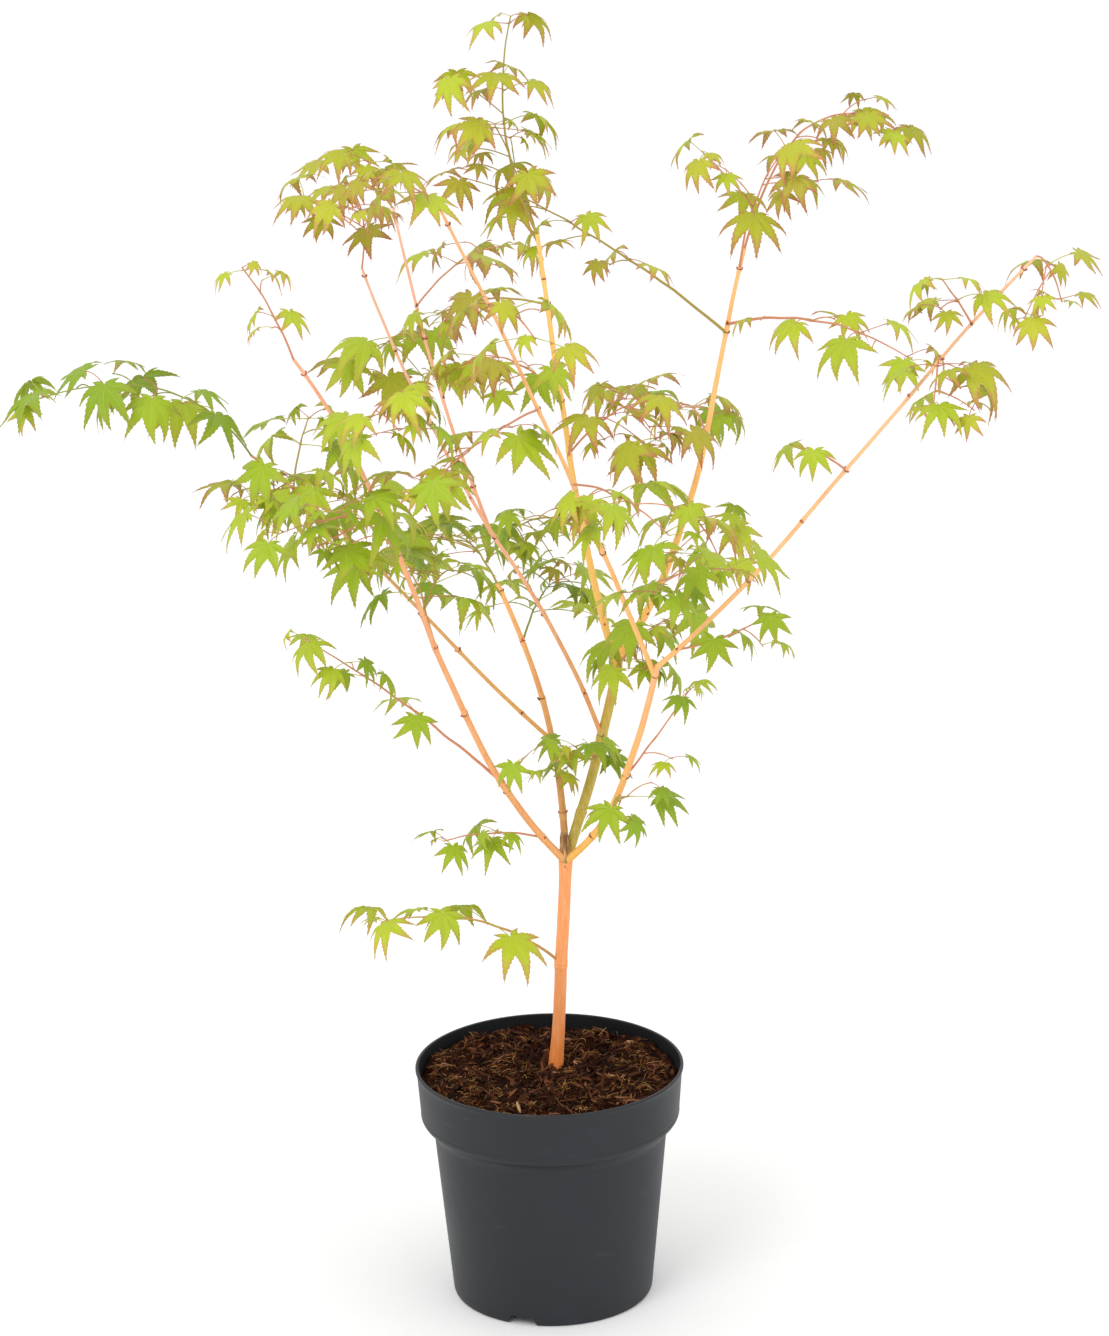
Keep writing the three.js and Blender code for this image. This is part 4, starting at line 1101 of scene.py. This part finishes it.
def make_twigs():
    twigs, stalks = Shape(), Shape()
    for mass in masses:
        random = seeded(TWIG_LOOK.seed + mass.index)
        for curve in [mass.curve, *mass.twigs]:
            twigs.add(*twig_tube(mass, curve), TWIG_TONES.get(mass.name, 0))
        for leaf in mass.leaves:
            stalks.add(*stalk_tube(leaf, random), stalk_tone(mass, random))
    names = [mass.name for mass in masses]
    piece("twigs", twigs, [plain_material(f"twig_{code}", code, 0.5) for code in TWIG_CODES], names)
    stalk_looks = [plain_material(f"stalk_{code}", code, 0.5) for code in STALK_CODES]
    piece("leaf_stalks", stalks, stalk_looks, names)


# Leaves. Each lobe has its angle, its reach and its teeth on either side.
LOBES = ((-121, 0.36, 3), (-78, 0.8, 5), (-38, 1.0, 6), (0, 1.05, 7), (38, 1.0, 6), (78, 0.8, 5),
         (121, 0.36, 3))
# The width of a lobe from its base to its tip: places along it, and shares of its full width
LOBE_EDGE = ((0, 0.12, 0.3, 0.5, 0.65, 0.78, 0.88, 0.95, 1),
             (0.9, 1, 0.86, 0.63, 0.43, 0.23, 0.11, 0.05, 0))
LOBE = Named(width=0.121, power=0.7, turn=5, reach=(0.92, 1.05), least=0.004, ribs=(0.45, 0.86),
             rib_back=0.5)
SINUS = 0.4
SINUS_RANGE = (0.88, 1.12)
BLADE_SIZE = 0.985
HEEL = (158, 0.07)
NO_REACH = 1e-6
TOOTH = Named(out=0.019, dip=0.008, place=0.78, end=1.0, size=(0.4, 1.5), fade=0.5)
VEIN = Named(width=0.008, taper=1.25, most=0.3, code="EEF0B0", mix=0.1)
INNER, OUTER = 0.5, 0.8
LOOK = {"blade": 0, "warm": 1, "rosy": 2, "edge": 3, "tail": 4, "vein": 5}
BLUSH = {"warm": 0.35, "rosy": 0.7, "edge": 1.0}
# The looks across half a lobe, from its rib to its margin, past each share of the way to its tip
STRIP_LOOKS = (
    (0.999, ("tail",) * 4), (0.8, ("edge",) * 4), (0.62, ("rosy", "rosy", "rosy", "edge")),
    (0.44, ("vein", "warm", "rosy", "edge")), (0.24, ("vein", "blade", "warm", "rosy")),
    (0, ("vein", "blade", "blade", "warm")), (-2, ("vein", "blade", "blade", "blade")),
)
PLANS = 10
LEAF_SEED = 61
# Masses that end up to each height share a piece: its name, that height and a slot name
LEAF_PIECES = (("low", 508, "leaf"), ("middle", 564, "leaf"), ("upper", 688, "leaf"),
               ("high", 786, "leaf_high"), ("top", 2000, "leaf_high"))


def in_plane(angle, reach):
    return np.array((math.cos(math.radians(angle)), math.sin(math.radians(angle)))) * reach


class LeafPlan:
    """A flat leaf of length 1: its points, how far each is from its lobe's rib, and its faces."""

    def __init__(self, random):
        self.keys, self.points, self.lobes, self.away = {}, [], [], []
        self.faces, self.looks = [], []
        lobes = [(angle + mix(-LOBE.turn, LOBE.turn, random()), reach * mix(*LOBE.reach, random()), teeth)
                 for angle, reach, teeth in LOBES]
        borders = [in_plane(-HEEL[0], HEEL[1])]
        for (a1, r1, _), (a2, r2, _) in zip(lobes, lobes[1:]):
            borders.append(in_plane((a1 + a2) / 2, SINUS * (r1 + r2) / 2 * mix(*SINUS_RANGE, random())))
        borders.append(in_plane(HEEL[0], HEEL[1]))
        for index, lobe in enumerate(lobes):
            self.add_lobe(index, lobe, borders[index], borders[index + 1], random)
        self.points, self.lobes, self.away = (np.array(v) for v in (self.points, self.lobes, self.away))

    def point(self, place, lobe, away):
        key = (round(place[0], 5), round(place[1], 5))
        if key not in self.keys:
            self.keys[key] = len(self.points)
            self.points.append(place)
            self.lobes.append(lobe)
            self.away.append(away)
        return self.keys[key]

    def add_lobe(self, index, lobe, left, right, random):
        angle, reach, teeth = lobe
        ahead, across = in_plane(angle, 1), in_plane(angle + 90, 1)
        start = (np.dot(left, ahead) + np.dot(right, ahead)) / 2
        stations = [(k + part) / (teeth + TOOTH.end) for k in range(teeth) for part in (TOOTH.place, 1)]
        wide = LOBE.width * reach ** LOBE.power
        widths = [wide * np.interp(u, *LOBE_EDGE) for u in stations]
        ribs = [0, *(share * start for share in LOBE.ribs)]
        ribs += [start + (reach - start) * u - LOBE.rib_back * w for u, w in zip(stations, widths)] + [reach]
        ribs = np.maximum.accumulate(ribs)
        for side, border in ((-1, left), (1, right)):
            fault = abs(np.dot(border, across)) - wide * LOBE_EDGE[1][0]
            rows = [np.zeros(2), border * 0.5, border]
            for number, (u, w) in enumerate(zip(stations, widths)):
                if number % 2 == 0:
                    tooth = TOOTH.out * mix(*TOOTH.size, random()) * (1 - TOOTH.fade * u)
                else:
                    tooth = -TOOTH.dip
                offset = max(LOBE.least, w + tooth * reach + fault * (1 - u) ** 3)
                rows.append(ahead * (start + (reach - start) * u) + across * side * offset)
            rows.append(ahead * reach)
            self.add_half(index, ahead, ribs, rows, side)

    def add_half(self, index, ahead, ribs, rows, side):
        strips = []
        for rib, edge in zip(ribs, rows):
            middle = ahead * rib
            gap = np.linalg.norm(edge - middle)
            if gap < NO_REACH:
                strips.append([self.point(middle, index, 0)])
                continue
            shares = (0, min(VEIN.width * (VEIN.taper - rib) / gap, VEIN.most), INNER, OUTER, 1)
            strips.append([self.point(mix(middle, edge, s), index, s * gap) for s in shares])
        for number, (low, high) in enumerate(zip(strips, strips[1:])):
            for k, look in enumerate(strip_looks(number, len(strips) - 2)):
                corners = [low[min(k, len(low) - 1)], high[min(k, len(high) - 1)],
                           high[min(k + 1, len(high) - 1)], low[min(k + 1, len(low) - 1)]]
                corners = list(dict.fromkeys(corners))
                if len(corners) < 3:
                    continue
                self.faces.append(corners if side < 0 else corners[::-1])
                self.looks.append(LOOK[look])


def strip_looks(number, last):
    """The looks of a strip of a lobe, by its number on the way to the last strip at the tip."""
    share = (number - 1) / (last - 1)
    return next(looks for least, looks in STRIP_LOOKS if share > least)


# Each tint is the colours of the blade, of its blush and of the tips of its lobes
TINTS = {
    "deep": ("84A00E", "8F9626", "6C6A2E"),
    "fresh": ("98B012", "A09E2C", "80743A"),
    "bright": ("A6B81C", "AEA234", "8A703A"),
    "lime": ("B0BE20", "BC9244", "865A3E"),
    "olive": ("ACB01E", "B67A4A", "784438"),
    "gold": ("B4B624", "BE7A50", "824A3E"),
    "bronze": ("AAA228", "B06846", "6A3A34"),
}
# Leaves much smaller than their mass's are young, and most of them take a young tint
YOUNG = Named(size=0.56, share=0.6, tints=("gold", "bronze", "olive", "lime"))
BY_HEIGHT = ((428, ("fresh", "bright", "lime")), (598, ("fresh", "bright", "fresh", "deep", "bright")),
             (698, ("bright", "lime", "olive", "fresh", "bright")),
             (2000, ("olive", "lime", "gold", "olive", "bronze")))
TINTS_OF = {
    "far_left": ("fresh", "deep", "bright", "fresh"), "left_tip": ("lime", "gold", "lime"),
    "low_shoot": ("bright", "lime", "bright"), "fork_shoot": ("bright", "fresh"),
    "main_low": ("deep", "fresh", "bright"), "right_low": ("deep", "fresh", "bright"),
    "centre_right": ("olive", "gold", "bronze", "olive"), "right_mid": ("bright", "lime", "fresh"),
    "outer_drop": ("olive", "gold", "bright"), "long_right": ("lime", "olive", "bright"),
    "outer_tip": ("lime", "gold", "olive"), "outer_left": ("lime", "olive"),
    "left_front": ("fresh", "bright", "fresh"), "mid_left": ("bright", "lime", "fresh"),
}
LEAF_FORM = Named(bend=(0.35, 1.3), fold=(0.12, 0.4), tilt=0.33, curl=(-0.25, 0.6), sway=0.45, curl_from=0.9,
                  wave=0.012, waves=13, phase=6.28, rib=0.02)


def leaf_points(leaf, plan, random):
    """The points of a blade: it bends down like an umbrella, folds along its ribs and curls at its tips."""
    form, flat = LEAF_FORM, plan.points
    reach = np.linalg.norm(flat, axis=1)
    bend = mix(*form.bend, random())
    fold = mix(*form.fold, random())
    curls = np.array([mix(*form.curl, random()) for _ in LOBES])[plan.lobes]
    sways = np.array([mix(-1, 1, random()) * form.sway for _ in LOBES])[plan.lobes]
    beyond = np.maximum(0, reach - SINUS * form.curl_from)
    shrink = np.where(reach > 0, np.sin(bend * reach) / (bend * np.maximum(reach, NO_REACH)), 1)
    spread = flat * shrink[:, None]
    heading = flat / np.maximum(reach, NO_REACH)[:, None]
    spread = spread + np.stack([-heading[:, 1], heading[:, 0]], 1) * (sways * beyond**2)[:, None]
    drop = (1 - np.cos(bend * reach)) / bend + curls * beyond**2
    phase = form.phase * random()
    height = fold * plan.away - drop
    height = height + form.wave * np.sin(reach * form.waves + phase) * (plan.away > form.rib)
    tilt = bend * form.tilt
    middle = leaf.middle * math.cos(tilt) + leaf.face * math.sin(tilt)
    face = leaf.face * math.cos(tilt) - leaf.middle * math.sin(tilt)
    blade = np.outer(spread[:, 0], middle) + np.outer(spread[:, 1], leaf.side) + np.outer(height, face)
    return leaf.base + BLADE_SIZE * leaf.length * blade


def tint_of(mass, leaf, random):
    """Colours are dealt out by spray: each mass draws on the tints of its height or its own."""
    tints = YOUNG.tints
    if not (leaf.length < mass.leaf * YOUNG.size and random() < YOUNG.share):
        tints = TINTS_OF.get(mass.name) or next(t for top, t in BY_HEIGHT if leaf.base[2] < top)
    return tints[int(random() * len(tints))]


def leaf_material(tint, look):
    blade, blush, tail = (linear(code) for code in TINTS[tint])
    other, share = (linear(VEIN.code), VEIN.mix) if look == "vein" else (blush, BLUSH.get(look, 0))
    colour = tail if look == "tail" else [mix(a, b, share) for a, b in zip(blade, other)]
    return plain_material(f"leaf_{tint}_{look}", colour, 0.52)


def make_leaves():
    random = seeded(LEAF_SEED)
    plans = [LeafPlan(random) for _ in range(PLANS)]
    order = list(TINTS)
    shapes = {key: Shape() for key, _, _ in LEAF_PIECES}
    replaced = {key: [] for key in shapes}
    for mass in masses:
        key = next(key for key, top, _ in LEAF_PIECES if mass.curve.end[2] <= top)
        replaced[key].append(mass.name)
        for leaf in mass.leaves:
            plan = plans[int(random() * PLANS)]
            first = order.index(tint_of(mass, leaf, random)) * len(LOOK)
            looks = [first + look for look in plan.looks]
            shapes[key].add(leaf_points(leaf, plan, random), plan.faces, looks)
    materials = [leaf_material(tint, look) for tint in order for look in LOOK]
    for key, _, slot in LEAF_PIECES:
        piece(f"leaves_{key}", shapes[key], materials, replaced[key])


# Camera, floor and light, in metres where no name says otherwise
CAMERA = Named(place_mm=(8.54, -3289, 1543), pitch_deg=18.11, roll_deg=1.0, lens=134.73, sensor=36, far=60)
FLOOR_HALF = 30
SKY_STRENGTH = 1.04
LIGHT_AIM = (0, 0, 0.45)
# Each light has its place, its size and its power
LIGHTS = {"key": ((-1.6, -2.4, 2.9), 1.6, 38), "fill": ((2.4, -1.6, 1.6), 2.2, 8)}


def make_camera():
    """The photo's view: a long lens, a little above the crown, with a slight roll."""
    data = bpy.data.cameras.new("camera")
    data.sensor_width, data.lens, data.clip_end = CAMERA.sensor, CAMERA.lens, CAMERA.far
    camera = add_object("camera", data)
    camera.location = [v * MM for v in CAMERA.place_mm]
    camera.rotation_mode = "ZXY"
    camera.rotation_euler = (math.radians(90 - CAMERA.pitch_deg), 0, -math.radians(CAMERA.roll_deg))
    bpy.context.scene.camera = camera


def make_floor():
    mesh = bpy.data.meshes.new("floor")
    half = FLOOR_HALF
    corners = [(-half, -half, 0), (half, -half, 0), (half, half, 0), (-half, half, 0)]
    mesh.from_pydata(corners, [], [(0, 1, 2, 3)])
    mesh.materials.append(plain_material("white_floor", "FCFCFC", 0.9, 300, 0.02))
    add_object("floor", mesh)


def make_light():
    """White studio light from all round, with a large soft light at the front left."""
    world = bpy.data.worlds.new("studio")
    world.use_nodes = True
    world.node_tree.nodes["Background"].inputs["Color"].default_value = (1, 1, 1, 1)
    world.node_tree.nodes["Background"].inputs["Strength"].default_value = SKY_STRENGTH
    bpy.context.scene.world = world
    for name, (place, size, power) in LIGHTS.items():
        data = bpy.data.lights.new(name, "AREA")
        data.size, data.energy = size, power
        light = add_object(name, data)
        light.location = place
        light.rotation_mode = "QUATERNION"
        light.rotation_quaternion = (Vector(LIGHT_AIM) - Vector(place)).to_track_quat("-Z", "Y")


make_pot()
make_soil()
make_leaves()
make_twigs()
make_stub()
make_buds({limb["name"]: make_limb(limb, index) for index, limb in enumerate(LIMBS)})
make_camera()
make_floor()
make_light()
bpy.context.scene.view_settings.view_transform = "Standard"
